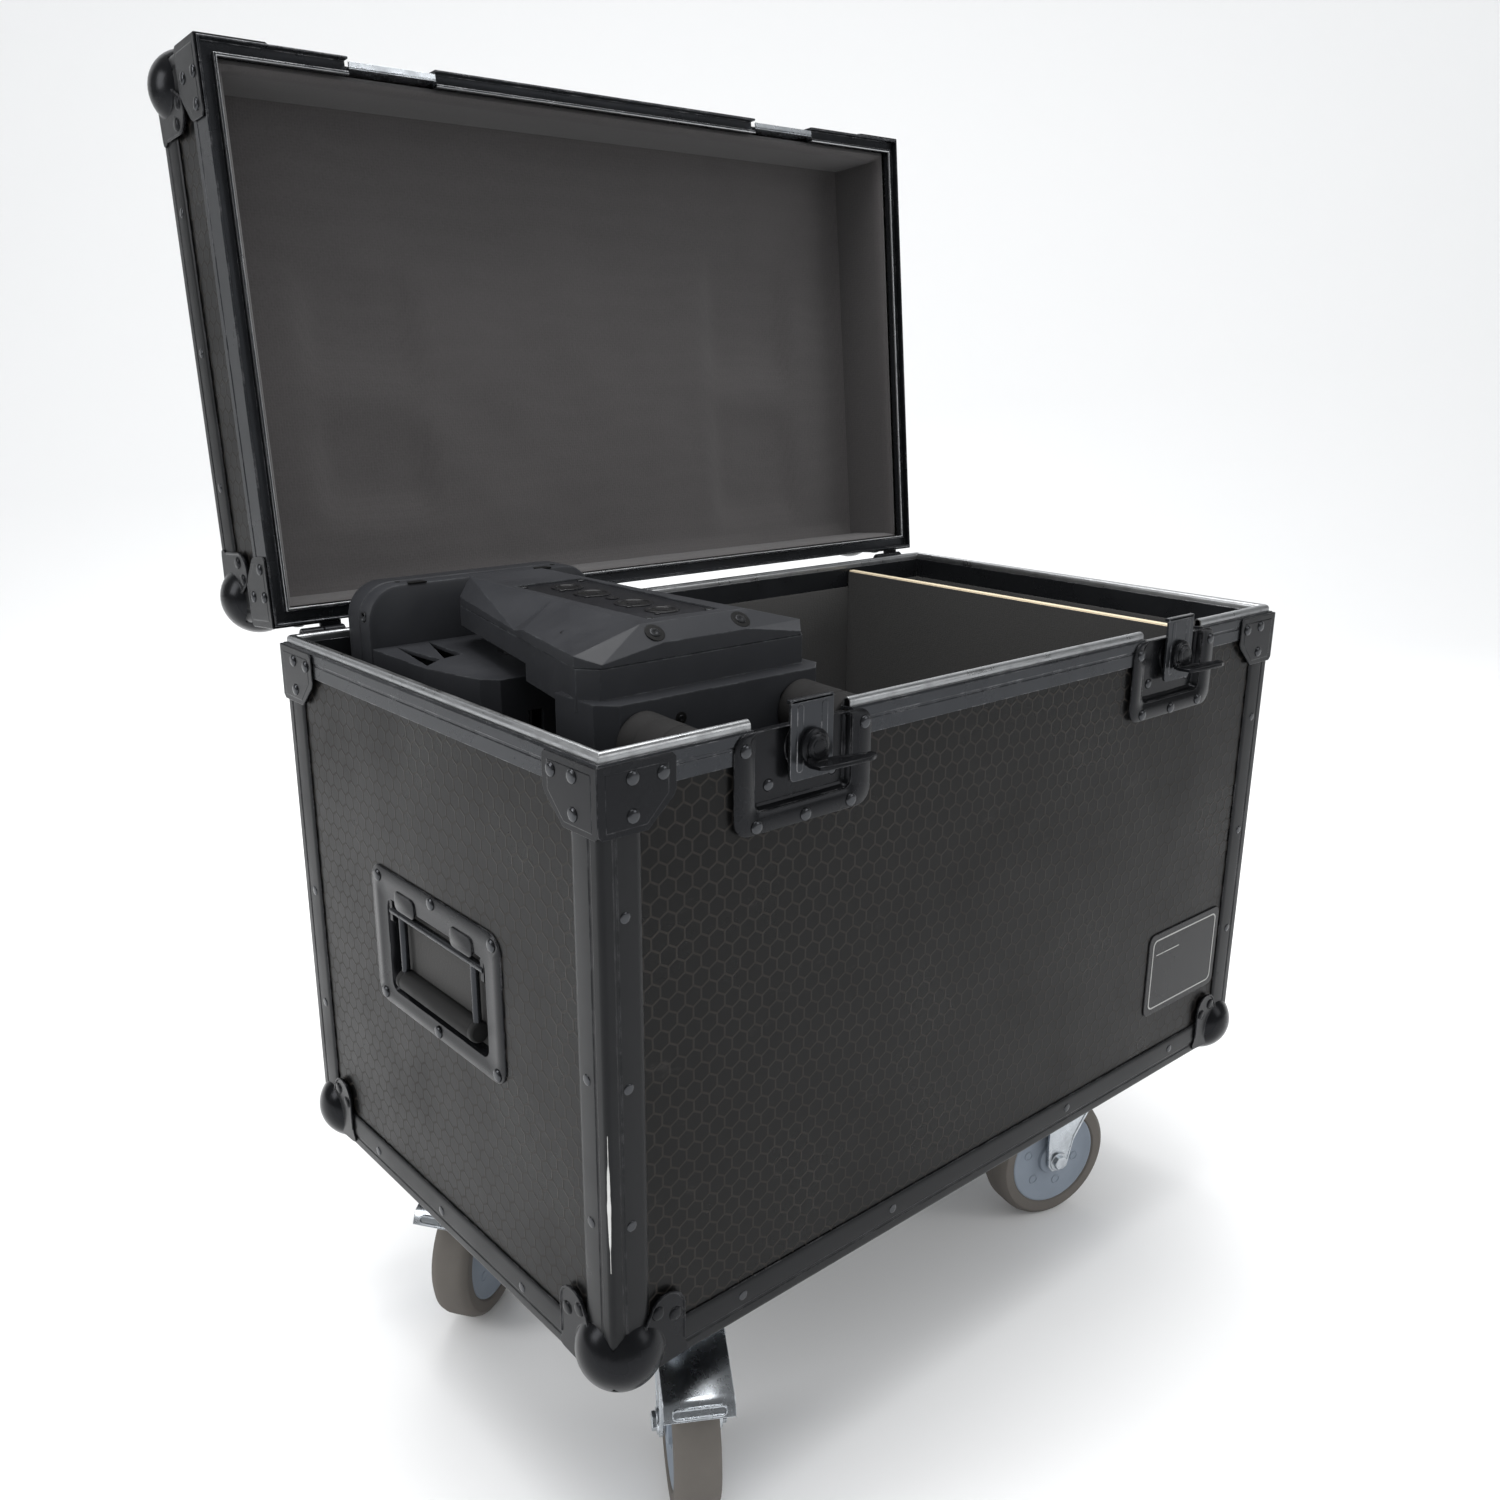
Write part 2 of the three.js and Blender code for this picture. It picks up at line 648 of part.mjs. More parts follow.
const padIn = innerLeg + sheetT + gap;
const padTop = lidTop - boardBack - gap;
const padding = cut(
  block(padIn, bodyW - padIn, padIn, bodyD - padIn, lidWeb1 + gap, padTop),
  block(padIn + padT, bodyW - padIn - padT, padIn + padT, bodyD - padIn - padBackT, lidZ, padTop - padT),
);
add(lidGroup, 'lid_padding', padding, cloth);

latchX.forEach((x, i) => {
  const x0 = x + keeperShift - keeperW / 2 + gap;
  const x1 = x0 + keeperW - 2 * gap;
  const back = boardBack - gap;
  const plate = block(x0, x1, back - 1.8, back, ledgeZ - 1.4, lidWeb0 + 12 - gap);
  const ledge = block(x0, x1, ledgeY, back, ledgeZ - 1.4, ledgeZ);
  add(lidGroup, `${i === 0 ? 'left' : 'right'}_latch_keeper`, join(plate, ledge), zinc);
});

// ---- Light: everything below is in (u, v, w) = (x, y, z) of the light's own frame ----
// Half-width of an arm's tapered outline at height w.
const armFoot = { w: 72, half: 99 };
const armTip = { w: 322, half: 43 };
const armEnd = 338;
const rootEnd = 175;
function armHalf(w) {
  const t = (w - armFoot.w) / (armTip.w - armFoot.w);
  return armFoot.half + (armTip.half - armFoot.half) * t;
}

function armOutline(w0, w1, inset) {
  const points = [[-(armHalf(w0) - inset - 13), w0 + inset], [armHalf(w0) - inset - 13, w0 + inset]];
  points.push([armHalf(w0 + 13) - inset, w0 + 13 + inset]);
  if (w1 < armTip.w) {
    points.push([armHalf(w1) - inset, w1 - inset], [-(armHalf(w1) - inset), w1 - inset]);
  } else {
    points.push([armTip.half - inset, armTip.w - inset], [armTip.half - 14, armEnd - inset]);
    points.push([-(armTip.half - 14), armEnd - inset], [-(armTip.half - inset), armTip.w - inset]);
  }
  points.push([-(armHalf(w0 + 13) - inset), w0 + 13 + inset]);
  return shapeOf(points);
}

const coverU = armU - coverT;
// Cover sections from the foot end to the tip: height, low half-width, low u, top half-width, top u.
const coverSections = [
  [armFoot.w - 2, 85, 201, 36, 209],
  [armFoot.w + 12, 97, 206, 45, armU],
  [armFoot.w + 103, 77, 206, 39, armU],
  [armFoot.w + 125, 71, 202, 37, armU],
  [armTip.w, 43, 205, 33, armU],
  [armEnd, 29, 207, 20, armU - 7],
];

function coverSkin(inset) {
  const rings = coverSections.map(([w, low, lowU, top, topU], i) => {
    const end = i === 0 ? inset : 0;
    const tail = i === coverSections.length - 1 ? -inset : 0;
    const h = w + end + tail;
    const l = low - inset;
    const t = top - inset * 0.5;
    const base = coverU - (inset > 0 ? 1 : 0);
    return [
      [base, -l, h], [lowU - inset * 0.6, -l, h], [topU - inset, -t, h],
      [topU - inset, t, h], [lowU - inset * 0.6, l, h], [base, l, h],
    ];
  });
  return loft(rings);
}

const armCover = cut(coverSkin(0), coverSkin(wallT));
const panelHole = block(
  armU - 8, armU + 1, -panelU / 2, panelU / 2, panelMid - panelL / 2, panelMid + panelL / 2,
);
add(lightGroup, 'upper_arm_cover', cut(armCover, panelHole), casing);
add(lightGroup, 'lower_arm_cover', mirrored(armCover, 0), casing);

function plainPanel() {
  const half = panelU / 2 - gap;
  const w0 = panelMid - panelL / 2 + gap;
  const plate = block(armU - 3, armU - 1.2, -half, half, w0, w0 + panelL - 2 * gap);
  const holes = socketAt.map((s, i) => rod('x', socketR[i], [0, panelMid + s], armU - 5, armU + 1, 14));
  return cut(plate, ...holes, rod('x', 5, [0, panelMid], armU - 5, armU + 1, 8));
}
add(lightGroup, 'connector_panel', plainPanel(), casing);

function socketBlock() {
  const u0 = armU - 16;
  const u1 = armU - 3 - gap;
  const board = block(u0 - 2, u0, -14, 14, panelMid - 75, panelMid + 75);
  const cups = socketAt.map((s, i) => {
    const at = [0, panelMid + s];
    const cup = rod('x', socketR[i] + 2, at, u0 - 1, u1, 12);
    return cut(cup, rod('x', socketR[i] - 1, at, u0 + 2, u1 + 1, 12));
  });
  return join(board, ...cups);
}
add(lightGroup, 'socket_block', socketBlock(), [0x101114, 0.5, 0.1]);

// ---- Yoke frame: base, arm roots and the two inner arm shells ----
const shellTop = coverU - gap;
function armShell() {
  const neck = prism('x', armOutline(armFoot.w - 2, armEnd, 0), shellInner, shellTop);
  const root = prism('x', armOutline(armFoot.w - 2, rootEnd, 0), rootInner, shellTop);
  const pocket = prism('x', armOutline(armFoot.w - 2, armEnd, wallT), shellInner + wallT, shellTop + 1);
  const bore = rod('x', shaftR + 0.5, [0, axisW], rootInner - 2, shellTop, 14);
  return cut(join(neck, root), pocket, bore);
}

// The base block: hollow, open at one side, with a motor shaft's bore into the upper arm.
const baseHalfU = rootInner + 8;
const cavityU = baseHalfU - 10;
const cavityW = [baseW0 + 3, baseW1 - 3];
const sideW = [baseW0 + 14, baseW1 - 2];
const baseOutline = shapeOf([
  [-baseV + 12, baseW0], [baseV - 12, baseW0], [baseV, baseW0 + 12], [baseV, baseW1], [-baseV, baseW1],
  [-baseV, baseW0 + 12],
]);
const upperShell = armShell();
const yokeFrame = cut(
  join(prism('x', baseOutline, -baseHalfU, baseHalfU), upperShell, mirrored(upperShell, 0)),
  block(-cavityU, cavityU, -baseV + 16, baseV - 12, ...cavityW),
  block(-cavityU + 10, cavityU - 10, 0, baseV + 1, sideW[0] + 4, sideW[1] - 4),
  rod('x', 6, [0, motorW], cavityU - 1, shellInner + wallT + 1, 16),
);
add(lightGroup, 'yoke_frame', yokeFrame, casing);

const sideV = baseV + gap;
const sidePlate = block(-cavityU, cavityU, sideV, sideV + 1.8, ...sideW);
const screen = block(-60, 10, sideV + 1, sideV + 3.2, sideW[0] + 8, sideW[1] - 8);
add(lightGroup, 'display_panel', join(sidePlate, screen), [0x16181c, 0.25, 0]);

const dialAt = [40, (sideW[0] + sideW[1]) / 2];
function menuDial() {
  const v0 = sideV + 1.8 + gap;
  const knob = rod('y', 11, dialAt, v0, v0 + 9, 20);
  return cut(knob, block(dialAt[0] - 1.5, dialAt[0] + 1.5, v0 + 8, v0 + 10, dialAt[1] + 2, dialAt[1] + 12));
}
add(lightGroup, 'menu_dial', menuDial(), rubber);

[[1, -1], [1, 1], [-1, -1], [-1, 1]].forEach(([a, b], i) => {
  const foot = rod('z', footR, [a * footU, b * footV], 0, baseW0 - gap, 16, footR + 1.5);
  add(lightGroup, `foot_${i + 1}`, foot, rubber);
});

const supply = block(-150, 20, -baseV + 20, baseV - 14, cavityW[0] + 1, cavityW[1] - 6);
add(lightGroup, 'power_supply', supply, [0x9a9da0, 0.4, 0.8]);

// ---- Tilt drive ----
function shaft(sign, end) {
  const flange = rod('x', 34, [0, axisW], headU + gap, headU + 6, 16);
  const bar = rod('x', shaftR, [0, axisW], headU + 3, end, 14);
  const made = join(flange, bar);
  return sign > 0 ? made : mirrored(made, 0);
}

const pulley = rod('x', drivePulleyR, [0, axisW], pulleyU, pulleyU + pulleyT, 24);
add(lightGroup, 'upper_tilt_axle', join(shaft(1, pulleyU + 1), pulley), darkMetal);
const cap = mirrored(rod('x', 16, [0, axisW], shellInner + wallT + gap, shellInner + wallT + 5, 14), 0);
add(lightGroup, 'lower_tilt_axle', join(shaft(-1, shellInner + wallT + 4), cap), darkMetal);

const motorHalf = 16;
const motorBody = block(
  cavityU - 48, cavityU - gap, -motorHalf, motorHalf, motorW - motorHalf, motorW + motorHalf,
);
add(lightGroup, 'tilt_motor', motorBody, darkMetal);
const motorShaft = rod('x', 4, [0, motorW], cavityU + gap, pulleyU + 1, 10);
add(
  lightGroup,
  'motor_pulley',
  join(motorShaft, rod('x', motorPulleyR, [0, motorW], pulleyU, pulleyU + pulleyT, 16)),
  zinc,
);

// The outline round two circles on the v axis at heights a and b.
function beltLoop(a, ra, b, rb) {
  const lean = Math.asin((rb - ra) / (b - a));
  const points = [];
  const steps = 10;
  for (let i = 0; i <= steps; i += 1) {
    const q = Math.PI + lean + (i / steps) * (Math.PI - 2 * lean);
    points.push([ra * Math.cos(q), a + ra * Math.sin(q)]);
  }
  for (let i = 0; i <= steps; i += 1) {
    const q = -lean + (i / steps) * (Math.PI + 2 * lean);
    points.push([rb * Math.cos(q), b + rb * Math.sin(q)]);
  }
  return points;
}

const beltGap = 1;
const beltIn = beltLoop(motorW, motorPulleyR + beltGap, axisW, drivePulleyR + beltGap);
const beltOut = beltLoop(motorW, motorPulleyR + beltGap + beltT, axisW, drivePulleyR + beltGap + beltT);
const belt = prism('x', shapeOf(beltOut, beltIn), pulleyU + 0.5, pulleyU + pulleyT - 0.5);
add(lightGroup, 'tilt_belt', belt, rubber);

// ---- Head ----
function bezelShape(inset) {
  return roundedRect(-bezelU + inset, bezelU - inset, -bezelV + inset, bezelV - inset, bezelR - inset);
}

const bezelW1 = bezelW0 + bezelDepth;
const bezelLip = 8;
const bezel = cut(
  prism('z', bezelShape(0), bezelW0, bezelW1, 4),
  prism('z', bezelShape(bezelLip), bezelW0 + wallT, bezelW1 + 1, 4),
  block(-headU + 6, headU - 6, -rearV + 10, rearV - 10, bezelW0 - 1, bezelW0 + wallT + 1),
);
add(lightGroup, 'head_bezel', bezel, casing);
const ledW = bezelW0 + wallT + gap;
add(lightGroup, 'led_board', prism('z', bezelShape(bezelLip + gap), ledW, ledW + 4, 4), [0xd8d8d2, 0.4, 0]);
const glassW = bezelW1 - 6;
const pane = prism('z', bezelShape(bezelLip + gap), glassW, glassW + 3, 4);
add(lightGroup, 'front_glass', pane, [0x20242a, 0.08, 0]);

const rearTop = bezelW0 - gap;
const rearLow = 203;
function rearOutline(inset, top) {
  const low = rearLow + inset;
  const knee = axisW - 4;
  return shapeOf([
    [-80 + inset, low], [80 - inset, low], [90 - inset, rearLow + 12],
    [rearV - inset, knee], [rearV - inset, top],
    [-rearV + inset, top], [-rearV + inset, knee], [-90 + inset, rearLow + 12],
  ]);
}

// Wedge slots through the end walls, either side of the axle.
const wedges = [
  [[85, rearTop - 4], [98, 276], [80, 290]],
  [[57, rearTop - 4], [76, 291], [58, 296]],
];
const slotCuts = wedges.flatMap((points) => [1, -1].flatMap((side) => {
  const outline = shapeOf(points.map(([v, w]) => [side * v, w]));
  return [prism('x', outline, headU - 5, headU + 1), prism('x', outline, -headU - 1, -headU + 5)];
}));
const ventCuts = [-2, -1, 0, 1, 2].flatMap((i) => [-1, 1].map((side) => {
  const a = side * 52;
  const b = side * 140;
  return block(Math.min(a, b), Math.max(a, b), i * 26 - 6, i * 26 + 6, rearLow - 1, rearLow + wallT + 1);
}));
const fanR = 42;
const fanHole = cut(
  rod('z', fanR + 2, [0, 0], rearLow - 1, rearLow + wallT + 1, 16),
  block(-5, 5, -60, 60, rearLow - 2, rearLow + wallT + 2),
  block(-60, 60, -5, 5, rearLow - 2, rearLow + wallT + 2),
);
const rearShell = cut(
  prism('x', rearOutline(0, rearTop), -headU, headU),
  prism('x', rearOutline(wallT, rearTop + 1), -headU + wallT, headU - wallT),
  fanHole,
  ...ventCuts,
  ...slotCuts,
);
const fanW = rearLow + 8;
add(lightGroup, 'rear_cover', join(rearShell, rod('z', 5, [0, 0], rearLow + 1, fanW + 8, 10)), casing);

function heatSink() {
  const w1 = ledW - gap - 0.5;
  const base = block(-headU + 8, headU - 8, -rearV + 12, rearV - 12, w1 - 9, w1);
  const count = 11;
  const fins = Array.from({ length: count }, (_, i) => {
    const v = -75 + (150 / (count - 1)) * i;
    return block(-140, 140, v - 1.2, v + 1.2, axisW + 20, w1 - 8);
  });
  return join(base, ...fins);
}
add(lightGroup, 'heat_sink', heatSink(), [0x8a8d90, 0.4, 0.9]);

// A fan rotor on the rear cover's post.
function fan() {
  const w0 = fanW;
  const hub = cut(rod('z', 14, [0, 0], w0, w0 + 16, 16), rod('z', 5.5, [0, 0], w0 - 1, w0 + 10, 10));
  const blade = block(12, fanR, -9, 9, -0.9, 0.9);
  const pitch = new THREE.Matrix4().makeRotationX(THREE.MathUtils.degToRad(38));
  const lift = new THREE.Matrix4().makeTranslation(0, 0, w0 + 8);
  const blades = Array.from({ length: 7 }, (_, i) => {
    const turn = new THREE.Matrix4().makeRotationZ((i / 7) * 2 * Math.PI);
    return place(blade, turn.multiply(lift).multiply(pitch));
  });
  return join(hub, ...blades);
}
add(lightGroup, 'cooling_fan', fan(), [0x1a1a1a, 0.5, 0]);

// ---- The foam that the light lies on ----
const lightZ = webTop + beadH + lightTop - armU;
const foamTop = lightZ - armU - gap;
const foamEnd = lightX + bezelV + 31;
const foam = block(inside, foamEnd, inside, bodyD - inside, floorTop + gap, foamTop);
add(caseGroup, 'foam_cradle', foam, [0x1d1d1f, 0.95, 0]);

// ---- Assembly: the light lies on its side, feet to the front, upper arm up ----
const stow = new THREE.Matrix4().makeBasis(
  new THREE.Vector3(0, 0, 1),
  new THREE.Vector3(1, 0, 0),
  new THREE.Vector3(0, 1, 0),
);
lightGroup.quaternion.setFromRotationMatrix(stow);
lightGroup.position.set(lightX, feetY, lightZ);

const lidPivot = new THREE.Group();
lidPivot.position.set(0, hingeY, hingeZ);
lidPivot.rotation.x = -lidOpen;
lidGroup.position.set(0, -hingeY, -hingeZ);
lidPivot.add(lidGroup);

const assembly = new THREE.Group();
assembly.add(caseGroup, lidPivot, lightGroup);
const box = new THREE.Box3().setFromObject(assembly);
assembly.position.set(-(box.min.x + box.max.x) / 2, -(box.min.y + box.max.y) / 2, -box.min.z);

export default assembly;
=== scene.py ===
"""Looks for a moving head light stowed in its wheeled flight case.

Metres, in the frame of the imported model.
"""
import json
import math

import bmesh
import bpy
from mathutils import Matrix, Vector, noise


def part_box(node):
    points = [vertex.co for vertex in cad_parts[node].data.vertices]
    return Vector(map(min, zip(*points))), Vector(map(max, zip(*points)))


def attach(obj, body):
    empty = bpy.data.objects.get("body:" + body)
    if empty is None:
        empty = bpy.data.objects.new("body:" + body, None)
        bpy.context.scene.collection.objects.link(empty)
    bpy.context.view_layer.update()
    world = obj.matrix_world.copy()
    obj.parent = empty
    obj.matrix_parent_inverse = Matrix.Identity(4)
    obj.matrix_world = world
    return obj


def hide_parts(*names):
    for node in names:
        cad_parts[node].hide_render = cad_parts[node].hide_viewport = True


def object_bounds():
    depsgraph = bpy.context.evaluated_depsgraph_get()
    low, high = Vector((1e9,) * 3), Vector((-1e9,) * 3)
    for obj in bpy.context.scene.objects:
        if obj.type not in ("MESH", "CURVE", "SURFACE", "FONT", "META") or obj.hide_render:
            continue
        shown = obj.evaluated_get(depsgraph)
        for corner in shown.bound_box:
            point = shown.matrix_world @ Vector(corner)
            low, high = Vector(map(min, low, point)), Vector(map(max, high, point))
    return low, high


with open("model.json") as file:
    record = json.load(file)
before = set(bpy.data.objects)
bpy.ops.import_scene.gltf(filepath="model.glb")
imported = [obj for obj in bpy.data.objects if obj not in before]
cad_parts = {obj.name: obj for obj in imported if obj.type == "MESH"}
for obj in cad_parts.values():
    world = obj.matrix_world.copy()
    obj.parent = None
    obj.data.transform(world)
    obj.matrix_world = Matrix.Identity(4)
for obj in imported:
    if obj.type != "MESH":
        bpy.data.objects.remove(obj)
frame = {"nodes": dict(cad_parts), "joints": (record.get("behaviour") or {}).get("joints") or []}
cad_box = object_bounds()
joints = {j["name"]: j for j in frame["joints"]}
nodes = frame["nodes"]
MM = 0.001
W, D, H = 740.0, 432.0, 432.0          # case body, millimetres
LID_Z, LID_H = 426.5, 98.0

# ---- Local frames: millimetres of the case, the closed lid and the upright light, to the row frame ----
rim_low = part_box("body_rim")[0]
board_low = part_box("front_panel")[0]
origin = Vector((rim_low.x, rim_low.y, board_low.z - 9.6 * MM))
CASE = Matrix.Translation(origin) @ Matrix.Scale(MM, 4)
hinge = Vector((0, 441.4, 426.8))
lid_angle = math.radians(joints["lid_hinge"]["range_deg"][0])
LID = CASE @ Matrix.Translation(hinge) @ Matrix.Rotation(lid_angle, 4, "X") @ Matrix.Translation(-hinge)
tilt = Vector(joints["head_tilt"]["pos_m"])
axes = Matrix(((0, 1, 0, 0), (0, 0, 1, 0), (1, 0, 0, 0), (0, 0, 0, 1)))
LIGHT = Matrix.Translation(tilt) @ Matrix.Scale(MM, 4) @ axes @ Matrix.Translation((0, 0, -275))


def castor_frame(name):
    p = Vector(joints[name + "_swivel"]["pos_m"])
    a = joints[name + "_roll"]["axis"]
    heading = math.atan2(-a[0], a[1])
    return Matrix.Translation((p.x, p.y, origin.z)) @ Matrix.Rotation(heading, 4, "Z") @ Matrix.Scale(MM, 4)


# ---- Camera ----
def place_camera():
    cam = bpy.data.cameras.new("camera")
    cam.lens = 32.13
    cam.sensor_width = 36
    cam.clip_start = 0.05
    o = bpy.data.objects.new("camera", cam)
    bpy.context.scene.collection.objects.link(o)
    forward = Vector((0.63074, 0.72183, -0.28483))
    right = Vector((0.75426, -0.65654, 0.0064))
    up = Vector((0.18238, 0.21887, 0.95856))
    m = Matrix.Identity(4)
    for i in range(3):
        m[i][0], m[i][1], m[i][2] = right[i], up[i], -forward[i]
    m.translation = CASE @ Vector((-403.1, -590.6, 647.1))
    o.matrix_world = m
    bpy.context.scene.camera = o


place_camera()


# ---- Materials ----
class Nodes:
    """A short way to build a material's node tree."""

    def __init__(self, name, color, rough, metal=0.0):
        self.mat = bpy.data.materials.new(name)
        self.mat.use_nodes = True
        self.tree = self.mat.node_tree
        self.bsdf = self.tree.nodes["Principled BSDF"]
        self.bsdf.inputs["Base Color"].default_value = (*color, 1)
        self.bsdf.inputs["Roughness"].default_value = rough
        self.bsdf.inputs["Metallic"].default_value = metal
        self.bsdf.inputs["Specular IOR Level"].default_value = 0.16
        self.coord = self.tree.nodes.new("ShaderNodeTexCoord")
        self.bump = None

    def new(self, kind, **settings):
        n = self.tree.nodes.new(kind)
        for k, v in settings.items():
            setattr(n, k, v)
        return n

    def link(self, a, b):
        self.tree.links.new(a, b)

    def math(self, op, a, b=None, c=None):
        n = self.new("ShaderNodeMath", operation=op)
        for i, v in enumerate((a, b, c)):
            if v is None:
                continue
            if isinstance(v, (int, float)):
                n.inputs[i].default_value = v
            else:
                self.link(v, n.inputs[i])
        return n.outputs[0]

    def noise(self, scale, detail=3, rough=0.6, stretch=None):
        n = self.new("ShaderNodeTexNoise")
        n.inputs["Scale"].default_value = scale
        n.inputs["Detail"].default_value = detail
        n.inputs["Roughness"].default_value = rough
        source = self.coord.outputs["Object"]
        if stretch:
            m = self.new("ShaderNodeMapping")
            m.inputs["Scale"].default_value = stretch
            self.link(source, m.inputs["Vector"])
            source = m.outputs["Vector"]
        self.link(source, n.inputs["Vector"])
        return n.outputs["Fac"]

    def range(self, value, a, b, lo, hi):
        n = self.new("ShaderNodeMapRange", clamp=True)
        self.link(value, n.inputs["Value"])
        for key, v in zip(("From Min", "From Max", "To Min", "To Max"), (a, b, lo, hi)):
            n.inputs[key].default_value = v
        return n.outputs["Result"]

    def mix(self, fac, a, b):
        n = self.new("ShaderNodeMix", data_type="RGBA")
        self.link(fac, n.inputs["Factor"])
        for i, v in ((6, a), (7, b)):
            if isinstance(v, tuple):
                n.inputs[i].default_value = (*v, 1)
            else:
                self.link(v, n.inputs[i])
        return n.outputs[2]

    def color(self, socket):
        self.link(socket, self.bsdf.inputs["Base Color"])

    def rough(self, value, lo, hi, a=0.3, b=0.7):
        self.link(self.range(value, a, b, lo, hi), self.bsdf.inputs["Roughness"])

    def relief(self, height, strength, distance):
        n = self.new("ShaderNodeBump")
        n.inputs["Strength"].default_value = strength
        n.inputs["Distance"].default_value = distance
        self.link(height, n.inputs["Height"])
        if self.bump:
            self.link(self.bump.outputs["Normal"], n.inputs["Normal"])
        self.link(n.outputs["Normal"], self.bsdf.inputs["Normal"])
        self.bump = n

    def soft_edge(self, radius):
        """Rounds the look of sharp edges."""
        n = self.new("ShaderNodeBevel", samples=4)
        n.inputs["Radius"].default_value = radius
        self.bump = n
        self.link(n.outputs["Normal"], self.bsdf.inputs["Normal"])
        return n

    def edge_mask(self, radius):
        """1 along sharp edges, 0 on flats."""
        n = self.new("ShaderNodeBevel", samples=4)
        n.inputs["Radius"].default_value = radius
        g = self.new("ShaderNodeNewGeometry")
        d = self.new("ShaderNodeVectorMath", operation="DOT_PRODUCT")
        self.link(n.outputs["Normal"], d.inputs[0])
        self.link(g.outputs["Normal"], d.inputs[1])
        return self.range(d.outputs["Value"], 0.995, 0.85, 0, 1)


def painted(name, color, rough, metal, wear=None, grain=900, depth=0.00005, edge=0.0006):
    """Smooth coated metal or moulded plastic: fine grain, smears of gloss, worn edges."""
    n = Nodes(name, color, rough, metal)
    n.soft_edge(edge)
    smear = n.noise(14, 4, 0.65)
    fine = n.noise(grain, 2)
    dark = tuple(c * 0.78 for c in color)
    light = tuple(min(1, c * 1.3 + 0.004) for c in color)
    base = n.mix(smear, dark, light)
    if wear:
        mask = n.math("MULTIPLY", n.edge_mask(edge * 1.6), n.range(n.noise(55, 5, 0.8), 0.48, 0.62, 0, 1))
        base = n.mix(mask, base, wear)
    n.color(base)
    n.rough(smear, rough * 0.8, min(1, rough * 1.25))
    n.relief(fine, 0.35, depth)
    return n.mat


def laminate():
    """Black laminate with a fine raised hexagon net and scuffs."""
    n = Nodes("laminate", (0.012, 0.0115, 0.011), 0.42)
    n.bsdf.inputs["Specular IOR Level"].default_value = 0.12
    n.soft_edge(0.0004)
    pitch = 0.0128
    sep = n.new("ShaderNodeSeparateXYZ")
    n.link(n.coord.outputs["Object"], sep.inputs[0])
    nrm = n.new("ShaderNodeSeparateXYZ")
    n.link(n.coord.outputs["Normal"], nrm.inputs[0])
    ax = n.math("GREATER_THAN", n.math("ABSOLUTE", nrm.outputs[0]), 0.7)
    az = n.math("GREATER_THAN", n.math("ABSOLUTE", nrm.outputs[2]), 0.7)
    x, y, z = sep.outputs

    def pick(a, b, f):
        return n.math("ADD", n.math("MULTIPLY", a, n.math("SUBTRACT", 1, f)), n.math("MULTIPLY", b, f))

    u = n.math("ADD", n.math("DIVIDE", pick(x, y, ax), pitch), 400)
    v = n.math("ADD", n.math("DIVIDE", pick(z, y, az), pitch), 400)
    s3 = 1.7320508

    def cell(du, dv):
        a = n.math("SUBTRACT", n.math("FLOORED_MODULO", n.math("ADD", u, du), 1.0), 0.5)
        b = n.math("SUBTRACT", n.math("FLOORED_MODULO", n.math("ADD", v, dv), s3), s3 / 2)
        a, b = n.math("ABSOLUTE", a), n.math("ABSOLUTE", b)
        reach = n.math("MAXIMUM", a, n.math("ADD", n.math("MULTIPLY", a, 0.5), n.math("MULTIPLY", b, s3 / 2)))
        return reach

    reach = n.math("MINIMUM", cell(0, 0), cell(0.5, s3 / 2))
    line = n.range(reach, 0.425, 0.465, 0, 1)
    blotch = n.noise(9, 4, 0.7)
    scuff = n.range(n.noise(16, 6, 0.85, (1, 1, 3)), 0.60, 0.72, 0, 0.5)
    base = n.mix(line, (0.0042, 0.0042, 0.0042), (0.021, 0.0185, 0.0165))
    base = n.mix(scuff, base, (0.03, 0.028, 0.026))
    n.color(base)
    gloss = n.math("ADD", n.range(line, 0, 1, 0.28, 0.47), n.range(blotch, 0.3, 0.7, -0.05, 0.12))
    n.link(gloss, n.bsdf.inputs["Roughness"])
    n.relief(line, 0.5, 0.00018)
    return n.mat


def cloth(name, color, pitch, depth, spread=0.25, fuzz=0.6):
    """Woven or felted fabric."""
    n = Nodes(name, color, 0.92)
    n.bsdf.inputs["Sheen Weight"].default_value = fuzz
    n.bsdf.inputs["Sheen Roughness"].default_value = 0.6
    n.bsdf.inputs["Specular IOR Level"].default_value = 0.25
    v = n.new("ShaderNodeTexVoronoi", feature="F1")
    v.inputs["Scale"].default_value = 1 / pitch
    v.inputs["Randomness"].default_value = 0.35
    n.link(n.coord.outputs["Object"], v.inputs["Vector"])
    weave = v.outputs["Distance"]
    fuzzy = n.noise(1.2 / pitch, 3, 0.7)
    broad = n.noise(6, 4, 0.6)
    height = n.math("ADD", n.math("MULTIPLY", weave, 0.6), fuzzy)
    dark = tuple(c * (1 - spread) for c in color)
    light = tuple(min(1, c * (1 + spread)) for c in color)
    base = n.mix(n.range(height, 0.4, 1.6, 0, 1), dark, light)
    worn = tuple(min(1, c * 1.25) for c in color)
    base = n.mix(n.range(broad, 0.45, 0.8, 0, 0.45), base, worn)
    n.color(base)
    n.rough(broad, 0.85, 0.98)
    n.relief(height, 0.7, depth)
    return n.mat


